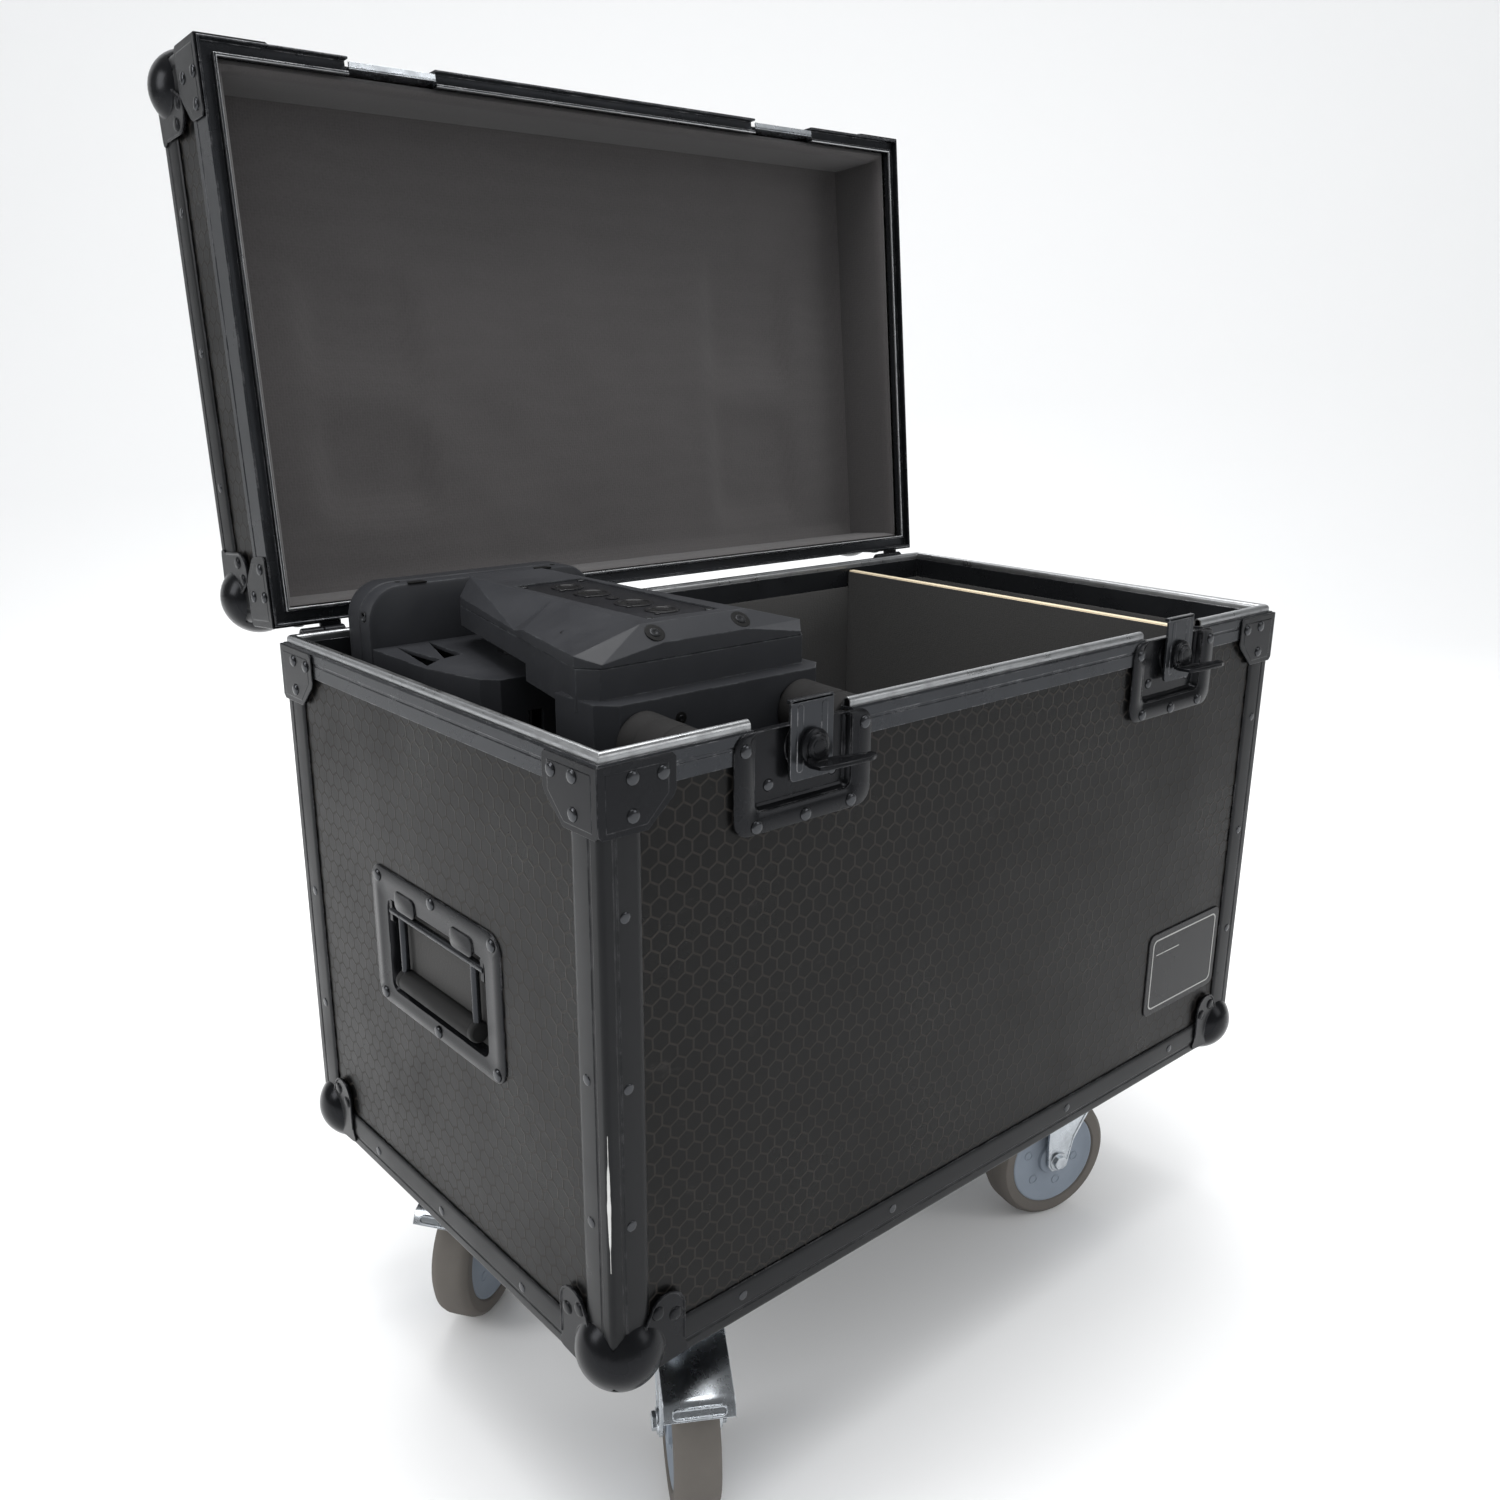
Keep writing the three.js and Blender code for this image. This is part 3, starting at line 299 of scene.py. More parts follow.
def brushed(name, color, rough, stretch=(30, 30, 900)):
    n = Nodes(name, color, rough, 1.0)
    n.soft_edge(0.0005)
    streak = n.noise(1, 3, 0.7, stretch)
    patch = n.noise(40, 5, 0.7)
    dark = tuple(c * 0.7 for c in color)
    base = n.mix(streak, dark, color)
    stain = n.range(patch, 0.52, 0.7, 0, 0.6)
    base = n.mix(stain, base, tuple(c * 0.45 for c in color))
    n.color(base)
    n.rough(patch, rough * 0.75, rough * 1.5)
    n.relief(streak, 0.25, 0.00004)
    return n.mat


def plywood():
    n = Nodes("plywood", (0.62, 0.53, 0.38), 0.75)
    plies = n.new("ShaderNodeTexWave", bands_direction="X")
    plies.inputs["Scale"].default_value = 210
    plies.inputs["Distortion"].default_value = 0.4
    n.link(n.coord.outputs["Object"], plies.inputs["Vector"])
    grain = n.noise(1, 4, 0.7, (400, 30, 400))
    base = n.mix(n.range(plies.outputs["Fac"], 0.3, 0.7, 0, 1), (0.66, 0.58, 0.43), (0.48, 0.40, 0.28))
    base = n.mix(n.range(grain, 0.45, 0.75, 0, 0.6), base, (0.36, 0.29, 0.2))
    n.color(base)
    n.rough(grain, 0.65, 0.9)
    n.relief(grain, 0.5, 0.0002)
    return n.mat


def emitter_board():
    """White board with a grid of small emitters."""
    n = Nodes("emitters", (0.78, 0.78, 0.74), 0.4)
    v = n.new("ShaderNodeTexVoronoi", feature="F1", distance="CHEBYCHEV")
    v.inputs["Scale"].default_value = 110
    v.inputs["Randomness"].default_value = 0.0
    n.link(n.coord.outputs["Object"], v.inputs["Vector"])
    chip = n.range(v.outputs["Distance"], 0.24, 0.2, 0, 1)
    n.color(n.mix(chip, (0.8, 0.8, 0.77), (0.85, 0.62, 0.12)))
    n.relief(chip, 0.6, 0.0004)
    n.rough(chip, 0.45, 0.2, 0, 1)
    return n.mat


def glass():
    n = Nodes("front_glass", (0.55, 0.6, 0.62), 0.06)
    n.bsdf.inputs["Transmission Weight"].default_value = 0.85
    n.bsdf.inputs["IOR"].default_value = 1.45
    smear = n.noise(30, 4)
    n.rough(smear, 0.03, 0.14)
    n.relief(smear, 0.1, 0.0001)
    n.color(n.mix(smear, (0.5, 0.55, 0.58), (0.62, 0.66, 0.68)))
    return n.mat


M = {
    "laminate": laminate(),
    "edging": painted("edging", (0.013, 0.0135, 0.0145), 0.34, 0.55, wear=(0.11, 0.11, 0.115), grain=1500,
                      edge=0.0009),
    "scrape": brushed("scrape", (0.62, 0.62, 0.61), 0.35, (200, 200, 30)),
    # A near-black material that is painted shade: it stands in for the shade inside screw pockets, socket
    # holes and bezel notches.
    "pit_painted_shade": painted("pit_painted_shade", (0.002, 0.002, 0.002), 0.6, 0.0, grain=700),
    "brace": painted("brace", (0.010, 0.0105, 0.012), 0.24, 0.6, wear=(0.12, 0.12, 0.125), grain=1200),
    "rivet": painted("rivet", (0.05, 0.052, 0.056), 0.2, 0.85, grain=700),
    "bright": brushed("bead_metal", (0.46, 0.47, 0.48), 0.3, (60, 60, 60)),
    "lid_metal": painted("lid_metal", (0.035, 0.037, 0.041), 0.28, 0.8, wear=(0.3, 0.3, 0.31)),
    "zinc": brushed("zinc", (0.66, 0.70, 0.74), 0.24, (90, 90, 90)),
    "felt": cloth("felt", (0.034, 0.033, 0.032), 0.0022, 0.0003, 0.25, 0.12),
    "padding": cloth("padding", (0.058, 0.054, 0.054), 0.0024, 0.0003, 0.22, 0.15),
    "foam": cloth("foam", (0.016, 0.016, 0.018), 0.0026, 0.0008, 0.4, 0.1),
    "plywood": plywood(),
    "grip": painted("grip", (0.012, 0.012, 0.012), 0.62, 0.0, grain=1100, depth=0.00012, edge=0.001),
    "tyre": painted("tyre", (0.115, 0.105, 0.095), 0.78, 0.0, grain=800, depth=0.00015, edge=0.001),
    "hub": painted("hub", (0.20, 0.23, 0.27), 0.5, 0.0, grain=600, depth=0.0001),
    "casing": painted("casing", (0.016, 0.017, 0.019), 0.5, 0.0, grain=1600, depth=0.00012, edge=0.0011),
    "casing_worn": painted("casing_worn", (0.02, 0.021, 0.024), 0.46, 0.0, wear=(0.07, 0.075, 0.08),
                           grain=1600,
                           depth=0.00012, edge=0.0012),
    "panel": painted("panel", (0.013, 0.0135, 0.016), 0.36, 0.4, grain=1500),
    "socket": painted("socket", (0.008, 0.008, 0.009), 0.3, 0.1, grain=900),
    "screen": painted("screen", (0.01, 0.013, 0.02), 0.1, 0.0, grain=300, depth=0.00001),
    "foot": painted("foot", (0.011, 0.0105, 0.0105), 0.8, 0.0, grain=500, depth=0.0002, edge=0.0015),
    "axle": painted("axle", (0.03, 0.031, 0.033), 0.35, 0.9, grain=900),
    "belt": painted("belt", (0.012, 0.012, 0.012), 0.75, 0.0, grain=500, depth=0.0002),
    "fin": brushed("fin", (0.30, 0.31, 0.32), 0.4, (40, 40, 700)),
    "supply": brushed("supply", (0.5, 0.51, 0.52), 0.35),
    "board": emitter_board(),
    "glass": glass(),
    "label": painted("label", (0.010, 0.010, 0.011), 0.25, 0.0, grain=700, depth=0.00003),
    "trim": painted("trim", (0.32, 0.32, 0.31), 0.4, 0.0, grain=700),
}


# ---- Shapes, built in millimetres of a local frame ----
class Shape:
    def __init__(self, frame_matrix):
        self.bm = bmesh.new()
        self.m = frame_matrix
        self.local = Matrix.Identity(4)

    def vert(self, p):
        return self.bm.verts.new(self.m @ self.local @ Vector(p))

    def skin(self, rings, caps=True, close=False):
        rows = [[self.vert(p) for p in r] for r in rings]
        n = len(rows[0])
        pairs = list(zip(rows, rows[1:])) + ([(rows[-1], rows[0])] if close else [])
        for a, b in pairs:
            for i in range(n):
                self.bm.faces.new((a[i], a[(i + 1) % n], b[(i + 1) % n], b[i]))
        if caps and not close:
            self.bm.faces.new(rows[0][::-1])
            self.bm.faces.new(rows[-1])
        return self

    def box(self, x0, x1, y0, y1, z0, z1):
        low = [(x0, y0, z0), (x1, y0, z0), (x1, y1, z0), (x0, y1, z0)]
        return self.skin([low, [(x, y, z1) for x, y, _ in low]])

    def prism(self, axis, outline, a, b, hole=None):
        """Outline points on the two other axes, in x, y, z order, pulled along axis from a to b."""
        def at(p, h):
            q = list(p)
            q.insert("xyz".index(axis), h)
            return q
        if hole is None:
            return self.skin([[at(p, a) for p in outline], [at(p, b) for p in outline]])
        rings = [[at(p, a) for p in outline], [at(p, b) for p in outline],
                 [at(p, b) for p in hole], [at(p, a) for p in hole]]
        return self.skin(rings, close=True)

    def turned(self, axis, centre, profile, steps=40):
        """profile: (radius, position along axis)."""
        def circle(r, h):
            out = []
            for i in range(steps):
                t = 2 * math.pi * i / steps
                q = [centre[0] + r * math.cos(t), centre[1] + r * math.sin(t)]
                q.insert("xyz".index(axis), h)
                out.append(q)
            return out
        closed = profile[0] == profile[-1]
        rows = [circle(max(r, 0.05), h) for r, h in (profile[:-1] if closed else profile)]
        return self.skin(rows, caps=not closed, close=closed)

    def rivet(self, axis, at, r=4.6, high=1.6, sign=-1):
        """A domed head standing off a face whose outward direction is sign along axis."""
        i = "xyz".index(axis)
        c = [v for k, v in enumerate(at) if k != i]
        base = at[i]
        steps = [(r, 0), (r, 0.3), (r * 0.93, 0.55), (r * 0.75, 0.85), (r * 0.4, 0.98), (r * 0.12, 1.0)]
        return self.turned(axis, c, [(q, base + sign * h * high) for q, h in steps], 20)

    def tube(self, path, r, steps=14):
        """A round bar along a path of points."""
        pts = [Vector(p) for p in path]
        side = None
        rings = []
        for k, p in enumerate(pts):
            ahead = (pts[min(k + 1, len(pts) - 1)] - pts[max(k - 1, 0)]).normalized()
            if side is None:
                side = ahead.orthogonal().normalized()
            side = (side - ahead * side.dot(ahead)).normalized()
            other = ahead.cross(side)
            rings.append([p + (side * math.cos(t) + other * math.sin(t)) * r
                          for t in (2 * math.pi * i / steps for i in range(steps))])
        return self.skin(rings)

    def make(self, name, material, body, slot=None, bevel=0.0, segments=2, nodes=(), smooth=40, fill=None):
        bm = self.bm
        bmesh.ops.recalc_face_normals(bm, faces=bm.faces)
        me = bpy.data.meshes.new(name)
        bm.to_mesh(me)
        bm.free()
        for p in me.polygons:
            p.use_smooth = True
        me.set_sharp_from_angle(angle=math.radians(smooth))
        me.materials.append(M[material])
        o = bpy.data.objects.new(name, me)
        bpy.context.scene.collection.objects.link(o)
        if bevel:
            b = o.modifiers.new("bevel", "BEVEL")
            b.width = bevel * MM
            b.segments = segments
            b.limit_method = "ANGLE"
            b.angle_limit = math.radians(38)
            b.harden_normals = True
        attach(o, body)
        if nodes:
            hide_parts(*nodes)
        return o


def rrect(a0, a1, b0, b1, r, steps=6):
    """A rounded rectangle's outline."""
    out = []
    for cx, cy, start in ((a1 - r, b0 + r, -90), (a1 - r, b1 - r, 0), (a0 + r, b1 - r, 90),
                          (a0 + r, b0 + r, 180)):
        for i in range(steps + 1):
            t = math.radians(start + 90 * i / steps)
            out.append((cx + r * math.cos(t), cy + r * math.sin(t)))
    return out


def at_axis(axis, outline, h):
    out = []
    for p in outline:
        q = list(p)
        q.insert("xyz".index(axis), h)
        out.append(q)
    return out


def corners(width, depth):
    """The four upright corners as mirror matrices, from the one at the origin."""
    for mx in (0, 1):
        for my in (0, 1):
            m = Matrix.Identity(4)
            if mx:
                m = m @ Matrix.Translation((width, 0, 0)) @ Matrix.Scale(-1, 4, (1, 0, 0))
            if my:
                m = m @ Matrix.Translation((0, depth, 0)) @ Matrix.Scale(-1, 4, (0, 1, 0))
            yield m, mx, my


def finish_node(node, material):
    o = nodes[node]
    o.data.materials.clear()
    o.data.materials.append(M[material])


# ---- Case shell ----
for n in ("front_panel", "back_panel", "left_panel", "right_panel", "lid_panels"):
    finish_node(n, "laminate")

EDGE, T = 30.0, 2.0


def leg_profile(t, w):
    """Half section of a grooved angle leg: (along, out) from the corner to the edge."""
    return [(4, 0), (9, 0), (9.8, 0.5), (11.4, 0.5), (12.2, 0), (w - 4, 0), (w - 2.6, 0.25), (w - 0.6, 0.8),
            (w, 1.3),
            (w, t)]


def angle_section(t=T, w=EDGE, r=4):
    """Closed section of an edging angle round the corner at the origin, legs along +a and +b."""
    leg = leg_profile(t, w)
    outer = [(out, along) for along, out in reversed(leg)]
    arc = [(r - r * math.cos(q),
            r - r * math.sin(q)) for q in (math.radians(90 * i / 5) for i in range(1, 5))]
    outer += arc + [(along, out) for along, out in leg]
    return outer + [(t, t)]


def edging_piece():
    s = Shape(CASE)
    section = angle_section()
    for m, _, _ in corners(W, D):
        s.local = m
        s.prism("z", section, 24, 405.6)
    s.local = Matrix.Identity(4)
    mx = Matrix.Translation((W, 0, 0)) @ Matrix.Scale(-1, 4, (1, 0, 0))
    my = Matrix.Translation((0, D, 0)) @ Matrix.Scale(-1, 4, (0, 1, 0))
    for m in (Matrix.Identity(4), my):
        s.local = m
        s.prism("x", section, 24, W - 24)
    for m in (Matrix.Identity(4), mx):
        s.local = m
        s.prism("y", section, 24, D - 24)
    return s


edging_piece().make("case_edging", "edging", "case", "edging", nodes=("body_edging",), smooth=30)


def edge_rivets(prefix, local, body, spots, high=0.9, r=3.8, mat="rivet"):
    s = Shape(local)
    for axis, at, sign in spots:
        p = list(at)
        s.rivet(axis, p, r, high, sign)
    return s.make(prefix, mat, body, "edging", nodes=("body_edging",) if body == "case" else ("lid_edging",))


case_spots = []
for x, z in ((17, 217), (723, 220), (17, 120), (723, 120), (17, 330), (723, 330)):
    case_spots.append(("y", (x, 0.1, z), -1))
    case_spots.append(("y", (x, D - 0.1, z), 1))
for x in (110, 261, 481, 640):
    case_spots.append(("y", (x, 0.1, 20), -1))
    case_spots.append(("y", (x, D - 0.1, 20), 1))
for y, z in ((20, 221), (412, 221), (225, 17), (20, 120), (412, 120), (110, 17), (330, 17)):
    case_spots.append(("x", (0.1, y, z), -1))
    case_spots.append(("x", (W - 0.1, y, z), 1))
edge_rivets("case_edging_rivets", CASE, "case", case_spots)

BW, BT = 55.0, 1.5


def brace_leg(s, top, low, w=BW):
    """One pressed leg on the front face at the corner: a pointed plate with a raised border."""
    z1, z0 = top, low
    outline = [(-1.5, z0 + 3), (1.5, z0), (34, z0), (w - 2, z0 + 17), (w, z0 + 21), (w, z1 - 3), (w - 3, z1),
               (-1.5, z1)]
    s.prism("y", outline, -1.8, -0.3)
    inner = [(4, z0 + 4), (33, z0 + 4), (w - 6, z0 + 20), (w - 6, z1 - 5), (4, z1 - 5)]
    s.prism("y", inner, -2.0, -0.3)


def case_braces():
    s = Shape(CASE)
    for m, _, _ in corners(W, D):
        s.local = m
        brace_leg(s, 425, 381)
        swap = Matrix(((0, 1, 0, 0), (1, 0, 0, 0), (0, 0, 1, 0), (0, 0, 0, 1)))
        s.local = m @ swap
        brace_leg(s, 425, 381)
    return s


case_braces().make("case_corner_braces", "brace", "case", "fitting", bevel=0.6, nodes=("body_edging",))


def ear_outline():
    """One upright face's ear: (along, height) from the corner, and how many points make its inner edge."""
    inner = [(3.5, 15.6), (9.5, 19.4), (15.5, 24.6), (20.6, 30.8), (24.6, 37.6), (28.2, 45.2)]
    for k in range(9):
        q = math.radians(165 - 165 * k / 8)
        inner.append((43 + 14 * math.cos(q), 43 + 14 * math.sin(q)))
    outer = [(57, 36), (57, 16), (57.8, 12.4), (59.6, 9.4), (60, 7.4), (58.6, 5), (55, 4), (30, 2.4),
             (12, 2.4)]
    return inner, outer


def ball_corner(s, r=30.0, c=19.0):
    """A pressed corner: a ball over the corner and a riveted ear on both upright faces."""
    ball = bmesh.new()
    bmesh.ops.create_uvsphere(ball, u_segments=44, v_segments=30, radius=r,
                              matrix=Matrix.Translation((c, c, c)))
    for axis in ((1, 0, 0), (0, 1, 0), (0, 0, 1)):
        geom = ball.verts[:] + ball.edges[:] + ball.faces[:]
        bmesh.ops.bisect_plane(ball, geom=geom, dist=1e-5, plane_co=(0.4, 0.4, 0.4), plane_no=axis)
    inside = [f for f in ball.faces if min(f.calc_center_median()) > 0.4]
    bmesh.ops.delete(ball, geom=inside, context="FACES")
    copies = {v: s.vert(v.co) for v in ball.verts if v.link_faces}
    for f in ball.faces:
        s.bm.faces.new([copies[v] for v in f.verts])
    ball.free()
    inner, outer = ear_outline()
    for axis in "xy":
        s.prism(axis, inner + outer, -1.5, 0.4)
        lip = [at_axis(axis, [q], -1.45)[0] for q in inner + outer[:2]]
        s.tube(lip, 0.95, 10)
        for a, z in ((35.5, 45.5), (49.5, 38.5)):
            at = [a, z]
            at.insert("xyz".index(axis), -1.4)
            s.rivet(axis, at, 5.0, 1.6, -1)


def case_balls():
    s = Shape(CASE)
    for m, _, _ in corners(W, D):
        s.local = m
        ball_corner(s)
    return s


case_balls().make("case_corner_balls", "brace", "case", "fitting", bevel=0.5, nodes=("body_edging",),
                  smooth=35)

# ---- The body's rim: a grooved leg and a bright hollow bead ----
LATCH_X = (159.0, 581.0)
SLOT_HALF = 43


def slotted_rim(name, sections, material, half):
    """A ring with a gap cut at each latch: sides and back in one run, the front in pieces."""
    s = Shape(CASE)
    stops = [(0, LATCH_X[0] - half), (LATCH_X[0] + half, LATCH_X[1] - half), (LATCH_X[1] + half, W)]
    n = len(sections)

    def run(points):
        rows = [[s.vert(p(i, z)) for i, z in sections] for p in points]
        for a, b in zip(rows, rows[1:]):
            for k in range(n):
                s.bm.faces.new((a[k], a[(k + 1) % n], b[(k + 1) % n], b[k]))
        s.bm.faces.new(rows[0][::-1])
        s.bm.faces.new(rows[-1])

    run([lambda i, z: (stops[0][1], i, z), lambda i, z: (i, i, z), lambda i, z: (i, D - i, z),
         lambda i, z: (W - i, D - i, z), lambda i, z: (W - i, i, z), lambda i, z: (stops[2][0], i, z)])
    run([lambda i, z: (stops[1][0], i, z), lambda i, z: (stops[1][1], i, z)])
    return s.make(name, material, "case", "rim", nodes=("body_rim",), smooth=32)


leg = [(0.0, 406), (0.0, 415.6), (0.45, 416.2), (0.45, 417.6), (0.0, 418.2), (0.0, 424.6), (1.0, 426),
       (2.6, 426),
       (2.6, 425.6), (9.6, 425.4), (11.6, 425.4), (11.6, 406), (9.6, 406), (9.6, 423.3), (2, 423.3),
       (2, 406.4),
       (1.2, 406)]
slotted_rim("rim_leg", leg, "lid_metal", SLOT_HALF)
mid, rb = 6.3, 3.5
arc = [(mid - rb * math.cos(math.radians(q)),
        428.4 + rb * math.sin(math.radians(q))) for q in range(0, 181, 18)]
inner_arc = [(mid - (rb - 1.1) * math.cos(math.radians(q)), 428.4 + (rb - 1.1) * math.sin(math.radians(q)))
             for q in range(180, -1, -18)]
bead = [(mid - rb, 425.2)] + arc + [(mid + rb, 425.2),
                                    (mid + rb - 1.1, 425.2)] + inner_arc + [(mid - rb + 1.1, 425.2)]
slotted_rim("rim_bead", bead, "bright", SLOT_HALF)


def hinge_knuckles(local, lid_side):
    s = Shape(local)
    y, z = 441.4, 426.8
    for x in (38.0, 702.0):
        if lid_side:
            a, b = x + 0.3, x + 18
            s.box(x - 18, x + 18, D - 0.4, D + 2.2, z + 6, 455)
            s.box(a, b, D + 0.5, y, z + 3.4, z + 6.6)
        else:
            a, b = x - 18, x - 0.3
            s.box(x - 18, x + 18, D - 0.4, D + 2.2, 407, z - 2)
            s.box(a, b, D, y, z - 5, z - 2)
        s.turned("x", (y, z), [(2.9, a), (5.0, a), (5.5, a + 0.5), (5.5, b - 0.5), (5.0, b), (2.9, b),
                               (2.9, a)], 28)
        if not lid_side:
            s.turned("x", (y, z), [(1.2, x - 19), (2.4, x - 18.6), (2.5, x - 17), (2.5, x + 16.4),
                                   (1.8, x + 17)], 20)
    return s


hinge_knuckles(CASE, False).make("case_hinges", "brace", "case", "rim", bevel=0.4, nodes=("body_rim",))


# ---- Lining: a felt tub with rounded folds ----
def tub(name, inset, back, floor, bottom, top, body, material, nodes_, seed):
    s = Shape(CASE)

    def shell(i, r, z, j=0.0):
        out = []
        for a, b in rrect(i, W - i, i, D - i, max(r, 0.5), 3):
            wob = noise.noise(Vector((a * 0.02, b * 0.02, z * 0.02 + seed))) * j
            out.append((a + wob, b + wob, z))
        return out
    levels = [floor + 14 + (top - floor - 16) * k / 8 for k in range(9)]
    outside = [shell(inset, 2, bottom)] + [shell(inset, 2, z) for z in (bottom + 20, top - 2)]
    lip = [shell(inset + 0.6, 2, top), shell(back - 0.6, 2, top)]
    inside_ = [shell(back, 2.5, z, 0.35) for z in reversed(levels)]
    fold = [shell(back + 0.8, 3, floor + 6, 0.3), shell(back + 3, 3, floor + 1.6, 0.2),
            shell(back + 8, 4, floor)]
    s.skin(outside + lip + inside_ + fold)
    return s.make(name, material, body, "lining", nodes=nodes_, smooth=50)


tub("felt_lining", 9.7, 12.6, 12.6, 9.7, 405.6, "case", "felt", ("body_lining",), 3)


# ---- Divider: plywood board with felt faces ----
def divider():
    s = Shape(CASE)
    s.skin([[(a, b, z) for a, b in rrect(618.9, 626.1, 13.1, 419, 0.5, 2)] for z in (13.2, 200, 423.4)])
    s.make("divider_board", "plywood", "case", "divider", bevel=0.4, nodes=("divider",))
    f = Shape(CASE)
    for x0, x1 in ((618.0, 618.9), (626.1, 627.0)):
        f.box(x0, x1, 13.0, 419, 13.0, 422.2)
    f.make("divider_felt", "felt", "case", "lining", bevel=0.3, nodes=("divider",))


divider()


# ---- Foam cradle ----
def pillow(local, x0, x1, y0, y1, z0, z1, r=5.0, rough=0.5, seed=1, edge=3):
    """A foam block with rounded edges and a slightly uneven skin."""
    s = Shape(local)
    rows = []
    for inset, z in ((r, z0), (r * 0.3, z0 + r * 0.3), (0, z0 + r), (0, (z0 + z1) / 2), (0, z1 - r),
                     (r * 0.3, z1 - r * 0.3), (r, z1)):
        ring = []
        for a, b in rrect(x0 + inset, x1 - inset, y0 + inset, y1 - inset, edge, 3):
            w = noise.noise(Vector((a, b, z)) * 0.03 + Vector((seed, 0, 0))) * rough
            ring.append((a - (w if a > (x0 + x1) / 2 else -w), b - (w if b > (y0 + y1) / 2 else -w), z))
        rows.append(ring)
    s.skin(rows)
    return s


pillow(CASE, 13.0, 284.4, 13.0, 419.0, 13.0, 37.6, 4).make(
    "foam_bed", "foam", "case", "foam", nodes=("foam_cradle",), smooth=50, fill=1.0)


# ---- Name plate: blank, with a thin outline ----
def blank_plate():
    s = Shape(CASE)
    rings = [at_axis("y", rrect(591, 707, 67, 148, 8), 2.0), at_axis("y", rrect(591, 707, 67, 148, 8), 1.4),
             at_axis("y", rrect(591.6, 706.4, 67.6, 147.4, 7.5), 1.0)]
    s.skin(rings)
    s.make("blank_name_plate", "label", "case", "label", nodes=("name_plate",), smooth=30)
    t = Shape(CASE)
    a, b = rrect(597, 701, 73, 142, 6), rrect(598.4, 699.6, 74.4, 140.6, 5)
    t.prism("y", a, 0.82, 1.1, b)
    t.box(603, 640, 0.84, 1.1, 126.0, 127.0)
    t.make("name_plate_outline", "trim", "case", "label", nodes=("name_plate",))


blank_plate()


# ---- Latches ----
def latch(x, side):
    d = Shape(CASE)
    half = 59.5
    out = [at_axis("y", rrect(x - half, x + half, 358, 424.9, 12), y) for y in (-0.3, -1.1)]
    edge = at_axis("y", rrect(x - half + 0.7, x + half - 0.7, 358.7, 424.2, 11.3), -1.5)
    crease = [at_axis("y", rrect(x - 48, x + 48, 366.5, 424.2, 9), -1.5),
              at_axis("y", rrect(x - 46.5, x + 46.5, 368, 424.2, 8), -1.0),
              at_axis("y", rrect(x - 43, x + 43, 371, 424.2, 6), -0.6)]
    pan = [at_axis("y", rrect(x - 41.4, x + 41.4, 372.6, 424.0, 5.5), 0.8),
           at_axis("y", rrect(x - 40.4, x + 40.4, 374, 423.8, 4.5), 4.2),
           at_axis("y", rrect(x - 38.5, x + 38.5, 376, 423.6, 3), 5.3)]
    back = [at_axis("y", rrect(x - 39.5, x + 39.5, 375, 424, 3), 6.5),
            at_axis("y", rrect(x - 41.8, x + 41.8, 373, 424.4, 5), 4.2),
            at_axis("y", rrect(x - 42, x + 42, 372, 424.8, 6), -0.3)]
    d.skin(out + [edge] + crease + pan, caps=False)
    rows = pan[-1:] + back
    d.skin(rows, caps=False)
    d.prism("y", rrect(x - 38.6, x + 38.6, 376, 423.6, 3), 5.3, 6.5)
    d.skin([back[-1], out[0]], caps=False)
    d.turned("y", (x + 5, 408), [(4.9, 6), (4.9, -1.4), (4.2, -1.8)], 24)
    d.turned("y", (x + 5, 408), [(17.5, 6), (17.5, 4.6), (16.5, 4.2), (7, 4.2), (7, 6), (17.5, 6)], 32)
    d.make(side + "_latch_tray", "brace", "case", "fitting", nodes=(side + "_latch_dish",), smooth=34)
    r = Shape(CASE)
    spots = ((-50.5, 414, -1.5), (-41.4, 363, -1.5), (0.5, 362.5, -1.5), (41.6, 363.5, -1.5), (53, 415, -1.5))
    for dx, z, y in spots:
        r.rivet("y", (x + dx, y, z), 4.6, 1.7)
    for dx, z in ((-26, 386), (30, 386)):
        r.rivet("y", (x + dx, 5.4, z), 4.2, 1.5)
    r.make(side + "_latch_rivets", "rivet", "case", "fitting", nodes=(side + "_latch_dish",))

    h = Shape(CASE)
    c = x + 5
    hx = 18.7
    outline = rrect(c - hx, c + hx, 386.3, 439.7, 4)
    h.prism("y", outline, -1.7, 0.6)
    h.prism("y", rrect(c - 13, c - 8, 392, 436, 2.2), -2.0, 0.5)
    h.prism("y", rrect(c + 8, c + 13, 392, 436, 2.2), -2.0, 0.5)
    h.skin([[(c - hx, y0, z0) for y0, z0 in ((-1.7, 437.4), (2.9, 437.4), (2.9, 438.8), (2.3, 439.9),
                                             (-1.0, 439.9),
                                           (-1.7, 439.2))],
            [(c + hx, y0, z0) for y0, z0 in ((-1.7, 437.4), (2.9, 437.4), (2.9, 438.8), (2.3, 439.9),
                                             (-1.0, 439.9),
                                           (-1.7, 439.2))]])
    h.make(side + "_latch_hook_plate", "lid_metal", side + "_hook", "fitting", bevel=0.35,
           nodes=(side + "_latch_hook",))

    w = Shape(CASE)
    w.turned("y", (c, 408), [(11.2, -2.15), (12.0, -2.5), (12.0, -5.2), (11.2, -5.9), (8.6, -6.3),
                             (8.2, -8.0), (7.4, -8.6)],
             36)
    w.turned("y", (c, 408), [(5.6, -8.4), (5.4, -8.9), (3.8, -9.1), (0.4, -9.15)], 24)
    base = [(-8, 0), (-9.5, -4), (-8, -13), (-4, -15), (14, -17), (33, -18), (40, -16), (43, -12.5),
            (42.6, -8.6),
            (39, -8), (24, -4), (14, -0.6)]
    low = [(c + a, b - 5.1, 396.1) for a, b in base]
    high = [(c + a, b - 5.1, 398.4) for a, b in base]
    cx = sum(p[0] for p in low) / len(low)
    cy = sum(p[1] for p in low) / len(low)

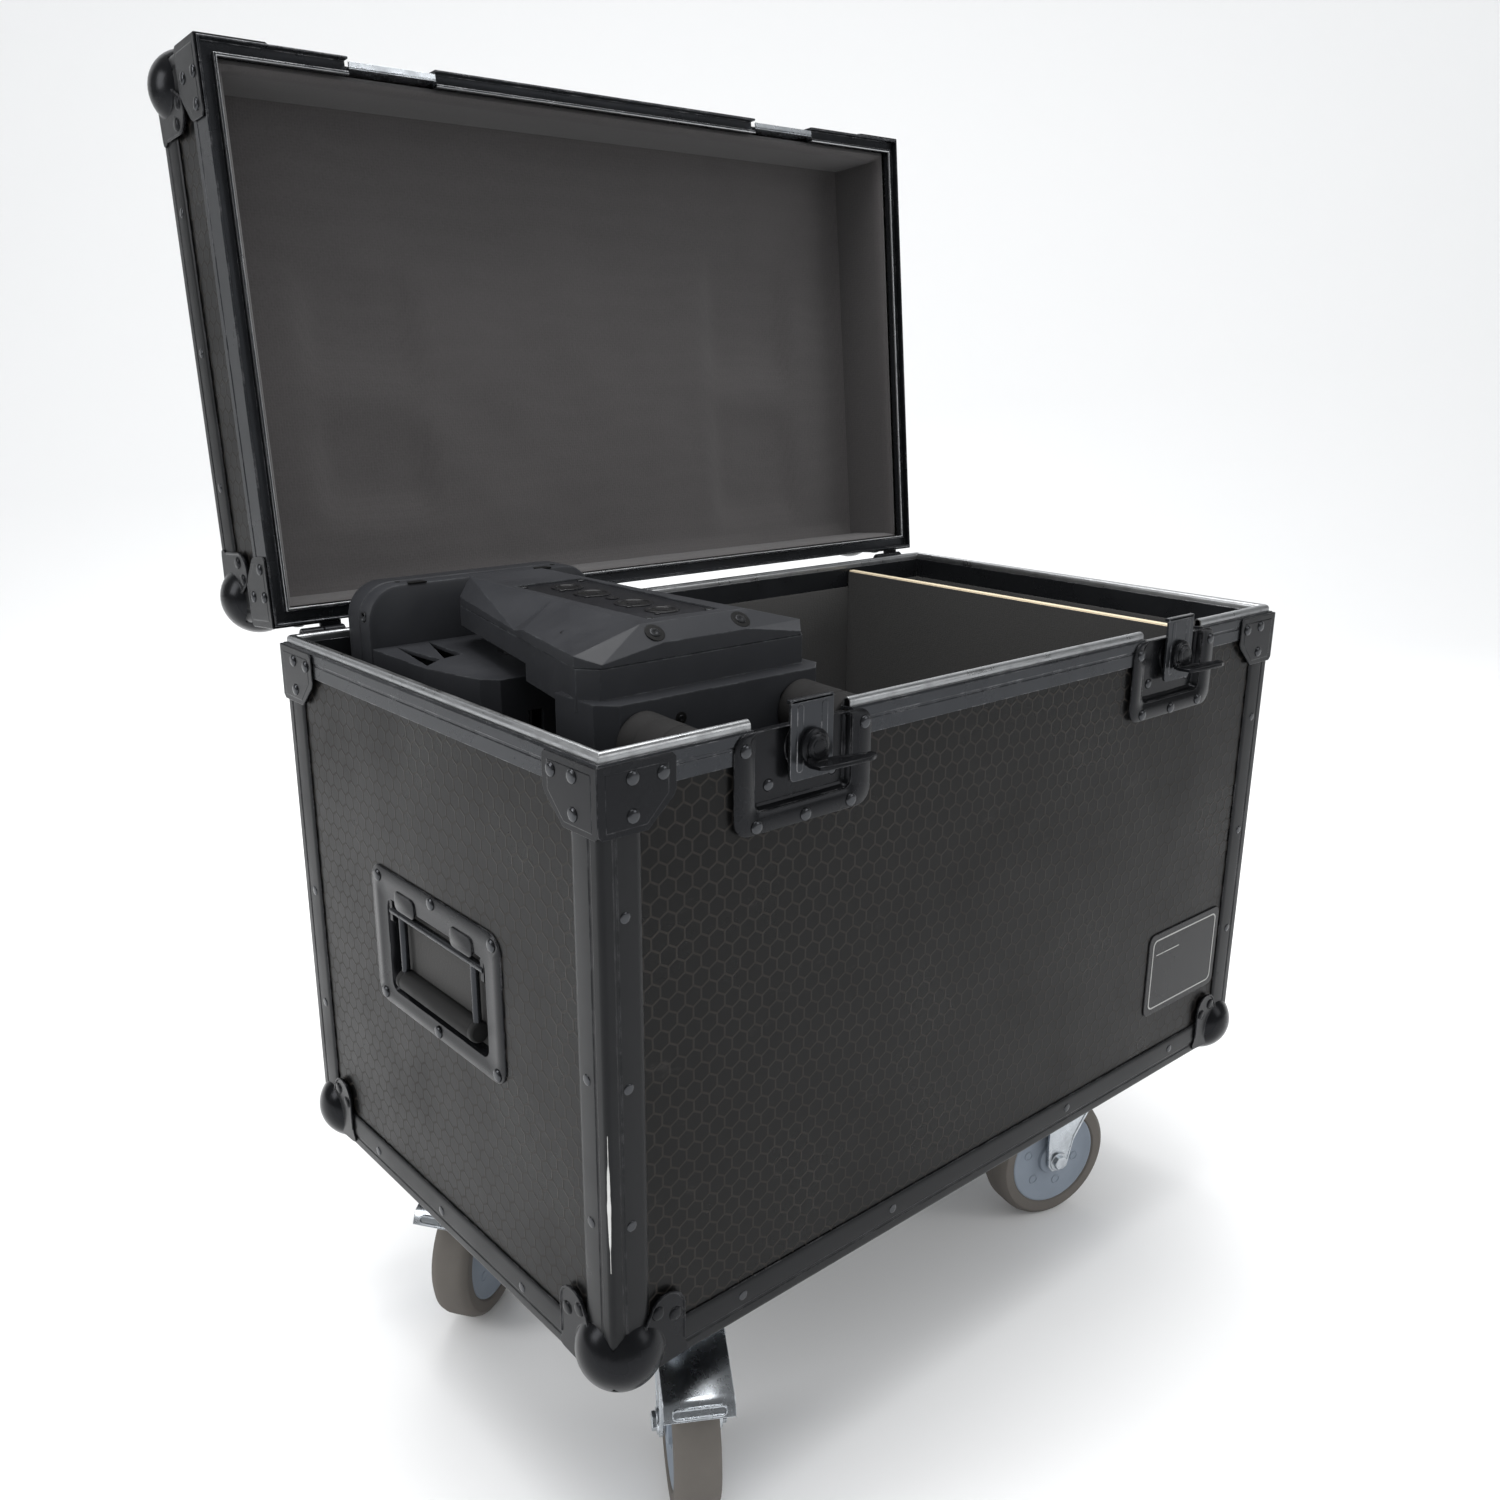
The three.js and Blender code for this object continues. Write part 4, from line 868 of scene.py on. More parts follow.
    def shrink(ring, f, z):
        return [(cx + (a - cx) * f, cy + (b - cy) * f, z) for a, b, _ in ring]
    w.skin([shrink(low, 0.95, 396.0), low, high, shrink(high, 0.96, 399.0), shrink(high, 0.80, 399.0),
            shrink(high, 0.74, 398.3)])
    w.turned("y", (c, 408), [(9, -5.2), (9, -7.9), (8, -8.3)], 30)
    w.skin([[(c - 8, -3, 396.4), (c + 8, -3, 396.4), (c + 8, -8, 396.4), (c - 8, -8, 396.4)],
            [(c - 9, -3, 402), (c + 9, -3, 402), (c + 9, -8, 402), (c - 9, -8, 402)]])
    w.make(side + "_latch_turn_wing", "brace", side + "_wing", "fitting", bevel=0.3,
           nodes=(side + "_latch_wing",),
           smooth=36)

    k = Shape(LID)
    x0, x1 = x - 5 - 37.6, x - 5 + 37.6
    y1, y0 = 9.0, 7.3
    k.skin([[(x0, y0, 427.0), (x0, y1, 427.0), (x0, y1, 444.6), (x0, y0, 444.6)],
            [(x1, y0, 427.0), (x1, y1, 427.0), (x1, y1, 444.6), (x1, y0, 444.6)]])
    sec = [(3.5, 427.0), (3.5, 428.0), (4.1, 428.3), (8.8, 428.3), (8.8, 427.0)]
    k.skin([[(x0, a, b) for a, b in sec], [(x1, a, b) for a, b in sec]])
    for dx in (-24, 24):
        k.rivet("y", (x - 5 + dx, 7.3, 438), 3.6, 1.2)
    k.box(x - 5 - 12, x - 5 + 12, 6.7, 7.6, 432, 436)
    k.make(side + "_latch_keeper_plate", "zinc", "lid", "zinc", bevel=0.3, nodes=(side + "_latch_keeper",))


latch(LATCH_X[0], "left")
latch(LATCH_X[1], "right")


# ---- Handles ----
def handle(side):
    m = Matrix.Identity(4)
    if side == "right":
        m = Matrix.Translation((W, 0, 0)) @ Matrix.Scale(-1, 4, (1, 0, 0))
    d = Shape(CASE)
    d.local = m
    y0, y1, z0, z1 = 119.5, 304.5, 168, 280
    rings = [at_axis("x", rrect(y0, y1, z0, z1, 14), x) for x in (2.0, 1.3)]
    rings += [at_axis("x", rrect(y0 + 0.8, y1 - 0.8, z0 + 0.8, z1 - 0.8, 13), 0.8),
              at_axis("x", rrect(y0 + 10, y1 - 10, z0 + 7, z1 - 10, 11), 0.8),
              at_axis("x", rrect(y0 + 12, y1 - 12, z0 + 9, z1 - 13, 10), 1.2),
              at_axis("x", rrect(141.2, 282.8, 181.2, 256.8, 8), 1.6),
              at_axis("x", rrect(142.4, 281.6, 182.4, 255.6, 7), 4.0),
              at_axis("x", rrect(143.4, 280.6, 183.6, 254.4, 5.5), 12.2),
              at_axis("x", rrect(147, 277, 187, 251, 4), 14.1)]
    back = [at_axis("x", rrect(146, 278, 186, 252, 4), 15.3),
            at_axis("x", rrect(141.4, 282.6, 181.6, 256.4, 6), 12.6),
            at_axis("x", rrect(141, 283, 181, 257, 7), 2.0)]
    d.skin(rings, caps=False)
    d.prism("x", rrect(147, 277, 187, 251, 4), 14.1, 15.3)
    d.skin(back + [rings[0]], caps=False)
    for yy in (146.0, 278.0):
        pts = [(2.2, 239), (4.5, 237), (13.5, 240), (13.5, 255.5), (2.2, 255.5)]
        d.skin([[(a, yy - 2, b) for a, b in pts], [(a, yy + 2, b) for a, b in pts]])
    for yy in (171, 253):
        tab = rrect(yy - 15, yy + 15, 252, 267, 5)
        d.skin([at_axis("x", tab, 1.6), at_axis("x", tab, 0.45),
                at_axis("x", rrect(yy - 14, yy + 14, 253, 266, 4.5), 0.1)])
    d.make(side + "_handle_tray", "brace", "case", "fitting", nodes=(side + "_handle_dish",), smooth=34)
    r = Shape(CASE)
    r.local = m
    for yy, zz in ((294, 271), (130, 271), (294, 175), (130, 175), (212, 274), (212, 174)):
        r.rivet("x", (0.8, yy, zz), 4.8, 1.8)
    r.make(side + "_handle_rivets", "rivet", "case", "fitting", nodes=(side + "_handle_dish",))
    g = Shape(CASE)
    g.local = m
    prof = [(3.0, 156.2), (6.6, 156.2), (7.8, 157.2), (8.0, 158.6), (8.0, 161), (7.6, 161.6), (7.6, 162.4),
            (7.9, 163),
            (7.9, 261), (7.6, 261.6), (7.6, 262.4), (8.0, 263), (8.0, 265.4), (7.8, 266.8), (6.6, 267.8),
            (3.0, 267.8)]
    g.turned("y", (4.3, 195), prof, 30)
    g.make(side + "_handle_rubber_grip", "grip", side + "_grip", "grip", nodes=(side + "_handle_grip",),
           smooth=38)
    w = Shape(CASE)
    w.local = m
    path = [(4.3, 145.2, 247), (4.3, 158, 247), (4.3, 159.4, 246.4), (4.3, 160, 245), (4.3, 160, 214),
            (4.3, 160, 196)]
    w.tube(path, 3.15)
    w.tube([(4.3, 424 - p[1], p[2]) for p in path], 3.15)
    w.tube([(4.3, 156, 247), (4.3, 268, 247)], 3.1)
    w.make(side + "_handle_wire", "lid_metal", side + "_grip", "grip", nodes=(side + "_handle_grip",),
           smooth=60)


handle("left")
handle("right")


# ---- Underside: board, castor plates and bearing races ----
def underside():
    s = Shape(CASE)
    s.skin([[(a, b, z) for a, b in rrect(9.6 + i, W - 9.6 - i, 9.6 + i, D - 9.6 - i, 1, 1)]
            for i, z in ((0, 9.3), (0, 2.9), (0.5, 2.3))])
    s.make("bottom_board", "laminate", "case", "laminate", nodes=("bottom_panel",))
    p = Shape(CASE)
    for x in (119.3, W - 119.3):
        for y in (81, D - 81):
            a0, a1, b0, b1 = x - 52.5, x + 52.5, y - 42.5, y + 42.5
            p.skin([[(a, b, z) for a, b in rrect(a0 + i, a1 - i, b0 + i, b1 - i, 9)]
                    for i, z in ((0, 2.2), (0, -1.4), (0.6, -2))])
            p.turned("z", (x, y), [(25, -1.8), (31, -1.8), (31, -5.5), (29.5, -7), (30.5, -9), (31, -11.5),
                                   (29.5, -15),
                                   (27, -16), (6, -16)], 48)
            for dx in (-42, 42):
                for dy in (-32, 32):
                    p.turned("z", (x + dx, y + dy), [(6.5, -1.9), (6.5, -6.3), (5.9, -6.9), (0.3, -6.9)], 6)
                    p.turned("z", (x + dx, y + dy), [(8.5, -1.9), (8.5, -3.2), (8.0, -3.4)], 24)
    p.make("castor_plates", "zinc", "case", "zinc", bevel=0.3, nodes=("bottom_panel",), smooth=34)


underside()


# ---- Castors ----
def fork(name):
    s = Shape(castor_frame(name))
    trail, axle = 39.5, -109.5
    half, t = 20.0, 3.0
    s.turned("z", (0, 0), [(8, -16.4), (28.5, -16.4), (30, -17.4), (30, -20), (28.8, -21.2), (8, -21.2)], 48)
    side = [(-19, -17.6), (-20, -19), (-19, -24), (-8, -40), (22, -90), (28.5, axle - 8),
            (trail - 6, axle - 10),
            (trail + 6, axle - 10), (trail + 11, axle - 4), (trail + 12.4, axle + 20), (trail + 12, -44),
            (trail + 10, -33),
            (46, -24), (33, -17.6)]
    inner = []
    cx = sum(p[0] for p in side) / len(side)
    cz = sum(p[1] for p in side) / len(side)
    for a, b in side:
        inner.append((cx + (a - cx) * 0.86, cz + (b - cz) * 0.86))
    for sgn in (-1, 1):
        y_in, y_out = sgn * half, sgn * (half + t)

        def ring(pts, y):
            return [(a, y, b) for a, b in pts]
        s.skin([ring(side, y_in), ring(side, y_out), ring(inner, y_out), ring(inner, y_out - sgn * 0.8),
                ], caps=True)
        s.turned("y", (trail, axle), [(9.5, y_out - sgn * 1), (9.5, y_out + sgn * 1.0),
                                      (9.0, y_out + sgn * 1.4),
                                      (6, y_out + sgn * 1.4)], 30)
        s.turned("y", (trail, axle), [(7.2, y_out), (7.2, y_out + sgn * 4.4), (6.4, y_out + sgn * 5),
                                      (0.3, y_out + sgn * 5)],
                 6)
        s.turned("y", (44.5, -35.5), [(5.2, y_out - sgn * 1), (5.2, y_out + sgn * 2.6),
                                      (4.2, y_out + sgn * 3.2),
                                      (0.3, y_out + sgn * 3.4)], 24)
    arch = []
    for a, z in ((-20, -21.2), (-20, -16.6), (30, -16.6), (30, -21.2)):
        arch.append((a, z))
    s.skin([[(a, -half - t + 0.4, z) for a, z in arch], [(a, half + t - 0.4, z) for a, z in arch]])
    s.tube([(trail, -half - 1, axle), (trail, half + 1, axle)], 5.9, 24)
    s.tube([(44.5, -half - 1, -35.5), (44.5, half + 1, -35.5)], 2.9, 16)
    s.make(name + "_castor_fork", "zinc", name + "_fork", "zinc", bevel=0.5, nodes=(name + "_fork",),
           smooth=34)


def wheel(name):
    m = castor_frame(name)
    trail, axle = 39.5, -109.5
    t = Shape(m)
    t.turned("y", (trail, axle), [(47.2, -15), (48.6, -16.6), (51, -17), (57.2, -16.8), (60.6, -14.2),
                                  (62.3, -9.5),
                                  (62.5, -4), (62.5, 4), (62.3, 9.5), (60.6, 14.2), (57.2, 16.8), (51, 17),
                                  (48.6, 16.6), (47.2, 15), (47.2, -15)], 72)
    t.make(name + "_tyre", "tyre", name + "_wheel", "tyre", nodes=(name + "_wheel",), smooth=34)
    h = Shape(m)
    h.turned("y", (trail, axle), [(6.3, -18), (14.5, -18), (16.4, -17), (17, -13.6), (20, -12.4), (38, -12.6),
                                  (41.5, -14), (45.6, -15.6), (47.1, -15.2), (47.1, 15.2), (45.6, 15.6),
                                  (41.5, 14),
                                  (38, 12.6), (20, 12.4), (17, 13.6), (16.4, 17), (14.5, 18), (6.3, 18),
                                  (6.3, -18)], 60)
    for k in range(6):
        q = math.radians(60 * k + 15)
        for sgn in (-1, 1):
            c = (trail + 29 * math.cos(q), axle + 29 * math.sin(q))
            h.turned("y", c, [(5, sgn * 11.9), (4.6, sgn * 13.1), (3.8, sgn * 13.3), (3.4, sgn * 12.6)], 18)
    h.make(name + "_hub", "hub", name + "_wheel", "tyre", nodes=(name + "_wheel",), smooth=34)


def pedal(name):
    s = Shape(castor_frame(name))
    c, a = 39.5, -109.5

    def pts(pairs):
        return [(c + dx, a + dz) for dx, dz in pairs]
    top = [(3, 83), (14, 81.6), (22, 80.2), (40, 75.5), (58, 70.6), (61, 69.3), (63, 67.2), (65.6, 62.8),
           (67.6, 58.6)]
    under = [(66.2, 57.6), (64.6, 58.4), (61.4, 64.4), (60, 66.2), (57, 68.4), (39, 73.1), (22, 77.4),
             (14, 78.9), (3, 80.3)]
    outline = pts(top) + pts(under)
    rings = []
    for y, less in ((-25, 0.5), (-24.3, 0.0), (24.3, 0.0), (25, 0.5)):
        rings.append([(px, y, pz - (less if k < len(top) else -less)) for k, (px, pz) in enumerate(outline)])
    s.skin(rings)
    along = Vector((4.6, 0, -8.6)).normalized()
    up = Vector((-along.z, 0, along.x))
    middle = Vector((c + 65.2, 0, a + 63.2))
    rows = []
    for rise, k in ((-0.8, 1.0), (0.5, 1.0), (1.1, 0.9), (1.1, 0.68), (0.3, 0.55)):
        ring = []
        for px, py in rrect(-3.9 * k, 3.9 * k, -17.5 - 1.5 * k, 17.5 + 1.5 * k, 3.7 * k, 6):
            ring.append(middle + along * px + up * rise + Vector((0, py, 0)))
        rows.append(ring)
    s.skin(rows)
    for sgn in (-1, 1):
        y0, y1 = sgn * 23.4, sgn * 25.2
        cheek = pts([(-4, 80), (0, 82), (22, 79.4), (42, 73.8), (60, 68.6), (58, 64.5), (40, 64), (18, 66.4),
                     (2, 68.2),
                     (-3, 70)])
        s.skin([[(px, y0, pz) for px, pz in cheek], [(px, y1, pz) for px, pz in cheek]])
    s.make(name + "_pedal_pressing", "zinc", name + "_pedal", "zinc", bevel=0.35,
           nodes=(name + "_brake_pedal",), smooth=36)


for castor in ("front_left", "front_right", "back_left", "back_right"):
    fork(castor)
    wheel(castor)
pedal("front_left")
pedal("back_left")


# ---- Lid ----
LT = LID_Z + LID_H


def lid_edging():
    s = Shape(LID)
    section = angle_section()
    flip = Matrix.Translation((0, 0, LT)) @ Matrix.Scale(-1, 4, (0, 0, 1))
    my = Matrix.Translation((0, D, 0)) @ Matrix.Scale(-1, 4, (0, 1, 0))
    mx = Matrix.Translation((W, 0, 0)) @ Matrix.Scale(-1, 4, (1, 0, 0))
    for m in (Matrix.Identity(4), my):
        s.local = flip @ m
        s.prism("x", section, 24, W - 24)
    for m in (Matrix.Identity(4), mx):
        s.local = flip @ m
        s.prism("y", section, 24, D - 24)
    for m, _, _ in corners(W, D):
        s.local = m
        s.prism("z", section, 455.9, LT - 24)
    s.make("lid_edging_angles", "edging", "lid", "edging", nodes=("lid_edging",), smooth=30)
    b = Shape(LID)
    swap = Matrix(((0, 1, 0, 0), (1, 0, 0, 0), (0, 0, 1, 0), (0, 0, 0, 1)))
    low_flip = Matrix.Translation((0, 0, 900)) @ Matrix.Scale(-1, 4, (0, 0, 1))
    for m, _, _ in corners(W, D):
        b.local = m @ low_flip
        brace_leg(b, 471.5, 428.5)
        b.local = m @ swap @ low_flip
        brace_leg(b, 471.5, 428.5)
    b.make("lid_corner_braces", "brace", "lid", "fitting", bevel=0.6, nodes=("lid_edging",))
    c = Shape(LID)
    for m, _, _ in corners(W, D):
        c.local = flip @ m
        ball_corner(c)
    c.make("lid_corner_balls", "brace", "lid", "fitting", bevel=0.5, nodes=("lid_edging",), smooth=35)
    r = Shape(LID)
    for x in (110, 261, 370, 481, 640):
        r.rivet("y", (x, 0.1, LT - 19), 3.8, 0.9)
        r.rivet("y", (x, D - 0.1, LT - 19), 3.8, 0.9, 1)
    for y in (110, 216, 322):
        r.rivet("x", (0.1, y, LT - 19), 3.8, 0.9)
        r.rivet("x", (W - 0.1, y, LT - 19), 3.8, 0.9, 1)
    for m, mx_, my_ in corners(W, D):
        r.local = m
        for a, z in ((23, 438), (45, 440), (23, 460)):
            r.rivet("y", (a, -1.9, z), 4.6, 1.7)
            r.rivet("x", (-1.9, a, z), 4.6, 1.7)
    r.make("lid_rivets", "rivet", "lid", "edging", nodes=("lid_edging",))


lid_edging()


def brace_rivets():
    r = Shape(CASE)
    for m, _, _ in corners(W, D):
        r.local = m
        for a, z in ((23, 415), (45, 414), (23, 392)):
            r.rivet("y", (a, -1.9, z), 4.6, 1.7)
            r.rivet("x", (-1.9, a, z), 4.6, 1.7)
    r.make("case_brace_rivets", "rivet", "case", "fitting", nodes=("body_edging",))


brace_rivets()


def lid_rim():
    half = 38.0
    stops = [(LATCH_X[0] - 5 - half, LATCH_X[0] - 5 + half), (LATCH_X[1] - 5 - half, LATCH_X[1] - 5 + half)]

    def ring_run(s, sections, points):
        rows = [[s.vert(p(i, z)) for i, z in sections] for p in points]
        n = len(sections)
        for a, b in zip(rows, rows[1:]):
            for k in range(n):
                s.bm.faces.new((a[k], a[(k + 1) % n], b[(k + 1) % n], b[k]))
        s.bm.faces.new(rows[0][::-1])
        s.bm.faces.new(rows[-1])

    def broken(s, sections):
        ring_run(s, sections, [lambda i, z: (stops[0][0], i, z), lambda i, z: (i, i, z), lambda i,
                               z: (i, D - i, z),
                               lambda i, z: (W - i, D - i, z), lambda i, z: (W - i, i, z),
                               lambda i, z: (stops[1][1], i, z)])
        ring_run(s, sections, [lambda i, z: (stops[0][1], i, z), lambda i, z: (stops[1][0], i, z)])

    s = Shape(LID)
    broken(s, [(0, 427.2), (0.6, 426.6), (1.4, 426.6), (2, 427.2), (2, 433), (2, 455.4), (0.8, 455.5),
               (0, 454.6),
               (0, 449), (0.5, 448.4), (0.5, 446.8), (0, 446.2)])
    broken(s, [(1.9, 433.0), (9.4, 433.0), (10.9, 432.4), (10.9, 427.2), (11.4, 426.6), (12.4, 426.6),
               (12.9, 427.2),
               (12.9, 435.0), (12.4, 435.5), (1.9, 435.5)])
    s.make("lid_rim_channel", "lid_metal", "lid", "lid_rim", nodes=("lid_rim",), smooth=32)
    b = Shape(LID)
    arc_ = [(12.0 + 1.5 * math.cos(math.radians(q)), 428.1 - 1.5 * math.sin(math.radians(q)))
            for q in range(0, 360, 30)]
    broken(b, arc_)
    b.make("lid_rim_rounded_edge", "bright", "lid", "lid_rim", nodes=("lid_rim",), smooth=50)
    hinge_knuckles(LID, True).make("lid_hinges", "brace", "lid", "lid_rim", bevel=0.4, nodes=("lid_rim",))


lid_rim()


def lid_pad():
    """Padded lining: soft sides and a panel pressed in where the light and the cable bay sit."""
    s = Shape(LID)
    x0, x1, y0, y1 = 12.1, W - 12.1, 12.1, D - 12.1
    side, back = 7.4, 3.7
    top_out, top_in = 514.7, 507.2
    zone = ((75, 205, 73, 306), (514, 653, 37, 333))

    def dip(x, y):
        s_ = 441.4 - y
        d = 0.0
        for a, b, c, e in zone:
            fx = max(0, min(1, (x - a) / 30)) * max(0, min(1, (b - x) / 30))
            fy = max(0, min(1, (s_ - c) / 40)) * max(0, min(1, (e - s_) / 40))
            fy *= 1 - 0.75 * math.exp(-((s_ - (c + e) / 2) / 34) ** 2)
            fx, fy = fx * fx * (3 - 2 * fx), fy * fy * (3 - 2 * fy)
            d = max(d, fx * fy)
        ripple = noise.noise(Vector((x, y, 0)) * 0.016) * 1.5 + noise.noise(Vector((x, y, 9)) * 0.05) * 0.35
        return 6.0 * d + ripple
    ix0, ix1, iy0, iy1 = x0 + side, x1 - side, y0 + side, y1 - back
    nx, ny = 96, 56
    grid = []
    for j in range(ny + 1):
        y = iy0 + (iy1 - iy0) * j / ny
        row = []
        for i in range(nx + 1):
            x = ix0 + (ix1 - ix0) * i / nx
            edge = min(x - ix0, ix1 - x, y - iy0, iy1 - y)
            roll = max(0.0, 1 - edge / 14)
            row.append(s.vert((x, y, top_in + dip(x, y) * min(1, edge / 10) - 4.5 * roll * roll)))
        grid.append(row)
    for j in range(ny):
        for i in range(nx):
            s.bm.faces.new((grid[j][i], grid[j][i + 1], grid[j + 1][i + 1], grid[j + 1][i]))
    border = [grid[0][i] for i in range(nx + 1)] + [grid[j][nx] for j in range(1, ny + 1)]
    border += [grid[ny][i] for i in range(nx - 1, -1, -1)] + [grid[j][0] for j in range(ny - 1, 0, -1)]
    inverse = (s.m @ s.local).inverted()
    base = [inverse @ v.co for v in border]

    def loop(f, z):
        return [s.vert((*f(p), z)) for p in base]

    def bulge(p):
        w = 0.35 * noise.noise(Vector((p.x, p.y, 3)) * 0.02)
        cx = p.x - (0.9 + w) * (1 if p.x > 360 else -1) * (1 if min(p.x - ix0, ix1 - p.x) < 0.1 else 0)
        cy = p.y - (0.9 + w) * (1 if p.y > 216 else -1) * (1 if min(p.y - iy0, iy1 - p.y) < 0.1 else 0)
        return cx, cy

    def out(p):
        fx = (p.x - ix0) / (ix1 - ix0)
        fy = (p.y - iy0) / (iy1 - iy0)
        return x0 + fx * (x1 - x0), y0 + fy * (y1 - y0)

    def half_out(p):
        a, b = out(p)
        return (p.x + a) / 2, (p.y + b) / 2
    loops = [border, loop(bulge, 492), loop(bulge, 470), loop(bulge, 448), loop(lambda p: (p.x, p.y), 439),
             loop(half_out, 436.2), loop(out, 438.5), loop(out, 480), loop(out, top_out)]
    n = len(border)
    for a, b in zip(loops, loops[1:]):
        for i in range(n):
            s.bm.faces.new((a[i], a[(i + 1) % n], b[(i + 1) % n], b[i]))
    s.bm.faces.new(loops[-1])
    s.make("lid_padded_lining", "padding", "lid", "padding", nodes=("lid_padding",), smooth=62, fill=0.9)


lid_pad()


# ---- The light ----
for n in ("yoke_frame", "upper_arm_cover", "lower_arm_cover"):
    finish_node(n, "casing_worn")
finish_node("rear_cover", "casing_worn")
for n, mat in (("heat_sink", "fin"), ("led_board", "board"), ("power_supply", "supply"),
               ("tilt_motor", "axle"),
               ("display_panel", "screen"), ("tilt_belt", "belt"), ("upper_tilt_axle", "axle"),
               ("lower_tilt_axle", "axle"), ("motor_pulley", "zinc")):
    finish_node(n, mat)


def head_bezel():
    s = Shape(LIGHT)
    U, V, R = 214.0, 104.5, 28.0

    def ring(i, w, wave=0.0):
        return [(a, b, w) for a, b in rrect(-U + i, U - i, -V + i, V - i, max(R - i, 2), 9)]
    outer = [ring(3.2, 355.1), ring(1.0, 356.4), ring(0, 359), ring(0, 369), ring(0.9, 370), ring(0.9, 371.4),
             ring(0, 372.4), ring(0, 388), ring(0.8, 392.5), ring(2.6, 395.2), ring(4.4, 396),
             ring(6.4, 395.2),
             ring(8, 393.2), ring(8, 358.2)]
    rows = outer + [[(a, b, 358.1) for a, b in rrect(-160, 160, -93, 93, 4, 9)],
                    [(a, b, 355.1) for a, b in rrect(-160, 160, -93, 93, 4, 9)]]
    s.skin(rows, close=True)
    s.make("head_bezel_shell", "casing_worn", "head", "casing", nodes=("head_bezel",), smooth=36)
    t = Shape(LIGHT)
    for sgn in (-1, 1):
        for u in (-190, -120, -40, 40, 120, 190):
            t.turned("y", (u, 363.5), [(4.2, sgn * 104.0), (4.2, sgn * 104.7), (3.4, sgn * 104.9),
                                       (2.6, sgn * 104.2),
                                       (0.3, sgn * 104.1)], 20)
    t.make("head_bezel_screws", "axle", "head", "casing", nodes=("head_bezel",))
    g = Shape(LIGHT)
    g.skin([ring(8.3, 390), ring(8.3, 392.2), ring(9.2, 393)])
    g.make("front_glass_pane", "glass", "head", "glass", nodes=("front_glass",), smooth=30)


head_bezel()


def feet():
    for k, (a, b) in enumerate(((1, -1), (1, 1), (-1, -1), (-1, 1))):
        s = Shape(LIGHT)
        prof = [(6, 0.4), (8, 0.2), (9.5, 1.6), (12, 1.8), (13.5, 0.3), (17, 0), (18.6, 1.2), (19, 3.5),
                (19.1, 11),
                (18.5, 12), (18.5, 13.4), (19.3, 14.4), (19.8, 34), (19.3, 35), (19.3, 36.4), (20, 37.4),
                (20.5, 51.5),
                (19.8, 52.6)]
        s.turned("z", (a * 152, b * 68), prof, 40)
        s.make("rubber_foot_%d" % (k + 1), "foot", "light", "foot", nodes=("foot_%d" % (k + 1),), smooth=34)


feet()


def sockets():
    mid = 177.6
    p = Shape(LIGHT)
    face = rrect(-29.7, 29.7, mid - 83.2, mid + 83.2, 3)
    n = len(face)
    p.skin([at_axis("x", face, 217.0), at_axis("x", face, 218.4), at_axis("x", rrect(-29, 29, mid - 82.5,
        mid + 82.5, 2.5), 218.8)])
    p.make("socket_panel", "panel", "light", "panel", bevel=0.0, nodes=("connector_panel",), smooth=34)
    r = Shape(LIGHT)
    # The socket holes are painted shade: flat near-black discs that stand in for the shade inside each socket
    # opening.
    hole = Shape(LIGHT)
    spots = ((-58.3, 10.0), (-25.4, 12.0), (25.4, 12.0), (58.3, 10.0))
    for dw, rad in spots:
        c = (0, mid + dw)
        r.turned("x", c, [(rad - 0.6, 218.7), (rad + 2.2, 218.7), (rad + 2.2, 219.4), (rad + 1.4, 219.9),
                          (rad - 0.4, 219.9), (rad - 1.2, 219.2), (rad - 1.6, 218.9), (rad - 0.6, 218.7)], 40)
        hole.turned("x", c, [(rad - 0.9, 218.7), (rad - 0.9, 218.95), (rad - 1.5, 219.0), (0.4, 219.0)], 32)
        r.turned("x", c, [(rad * 0.4, 218.9), (rad * 0.4, 219.3), (rad * 0.3, 219.5), (0.4, 219.4)], 24)
        for q in (45, 225):
            cc = (13.5 * math.cos(math.radians(q)) * 1.15, mid + dw + 13.5 * math.sin(math.radians(q)) * 1.0)
            r.turned("x", cc, [(2.4, 218.7), (2.4, 219.4), (1.8, 219.8), (0.3, 219.8)], 16)
    r.turned("x", (0, mid), [(5.0, 218.7), (5.0, 219.6), (4.2, 219.95), (2.2, 219.9), (2.0, 219.4),
                             (0.3, 219.4)], 24)
    r.make("socket_rings", "socket", "light", "socket", nodes=("socket_block",), smooth=34)
    hole.make("socket_hole_painted_shade", "pit_painted_shade", "light", "socket", nodes=("socket_block",), smooth=34)
    t = Shape(LIGHT)
    for u in (-25.5, 25.5):
        for w in (mid - 78, mid + 78):
            t.turned("x", (u, w), [(3.0, 218.7), (3.0, 219.5), (2.4, 219.9), (1.2, 219.7), (0.2, 219.6)], 20)
    t.make("socket_panel_screws", "axle", "light", "panel", nodes=("connector_panel",))


sockets()


def pocket(s, p, at, normal, r=5.2):
    """A screw hole in painted shade: a thin ring round a sunken-looking near-black disc, which stands in for
    the shade inside the hole, with a small screw head.
    """
    n = Vector(normal).normalized()
    side = n.orthogonal().normalized()
    other = n.cross(side)
    at = Vector(at)

    def ring(radius, rise):
        return [at + n * rise + (side * math.cos(t) + other * math.sin(t)) * radius
                for t in (2 * math.pi * k / 24 for k in range(24))]
    s.skin([ring(r, -0.4), ring(r, 0.18), ring(r - 0.5, 0.22), ring(0.3, 0.2)])
    p.skin([ring(r * 0.52, 0.1), ring(r * 0.52, 0.5), ring(r * 0.4, 0.75), ring(r * 0.2, 0.5),
            ring(0.2, 0.45)])


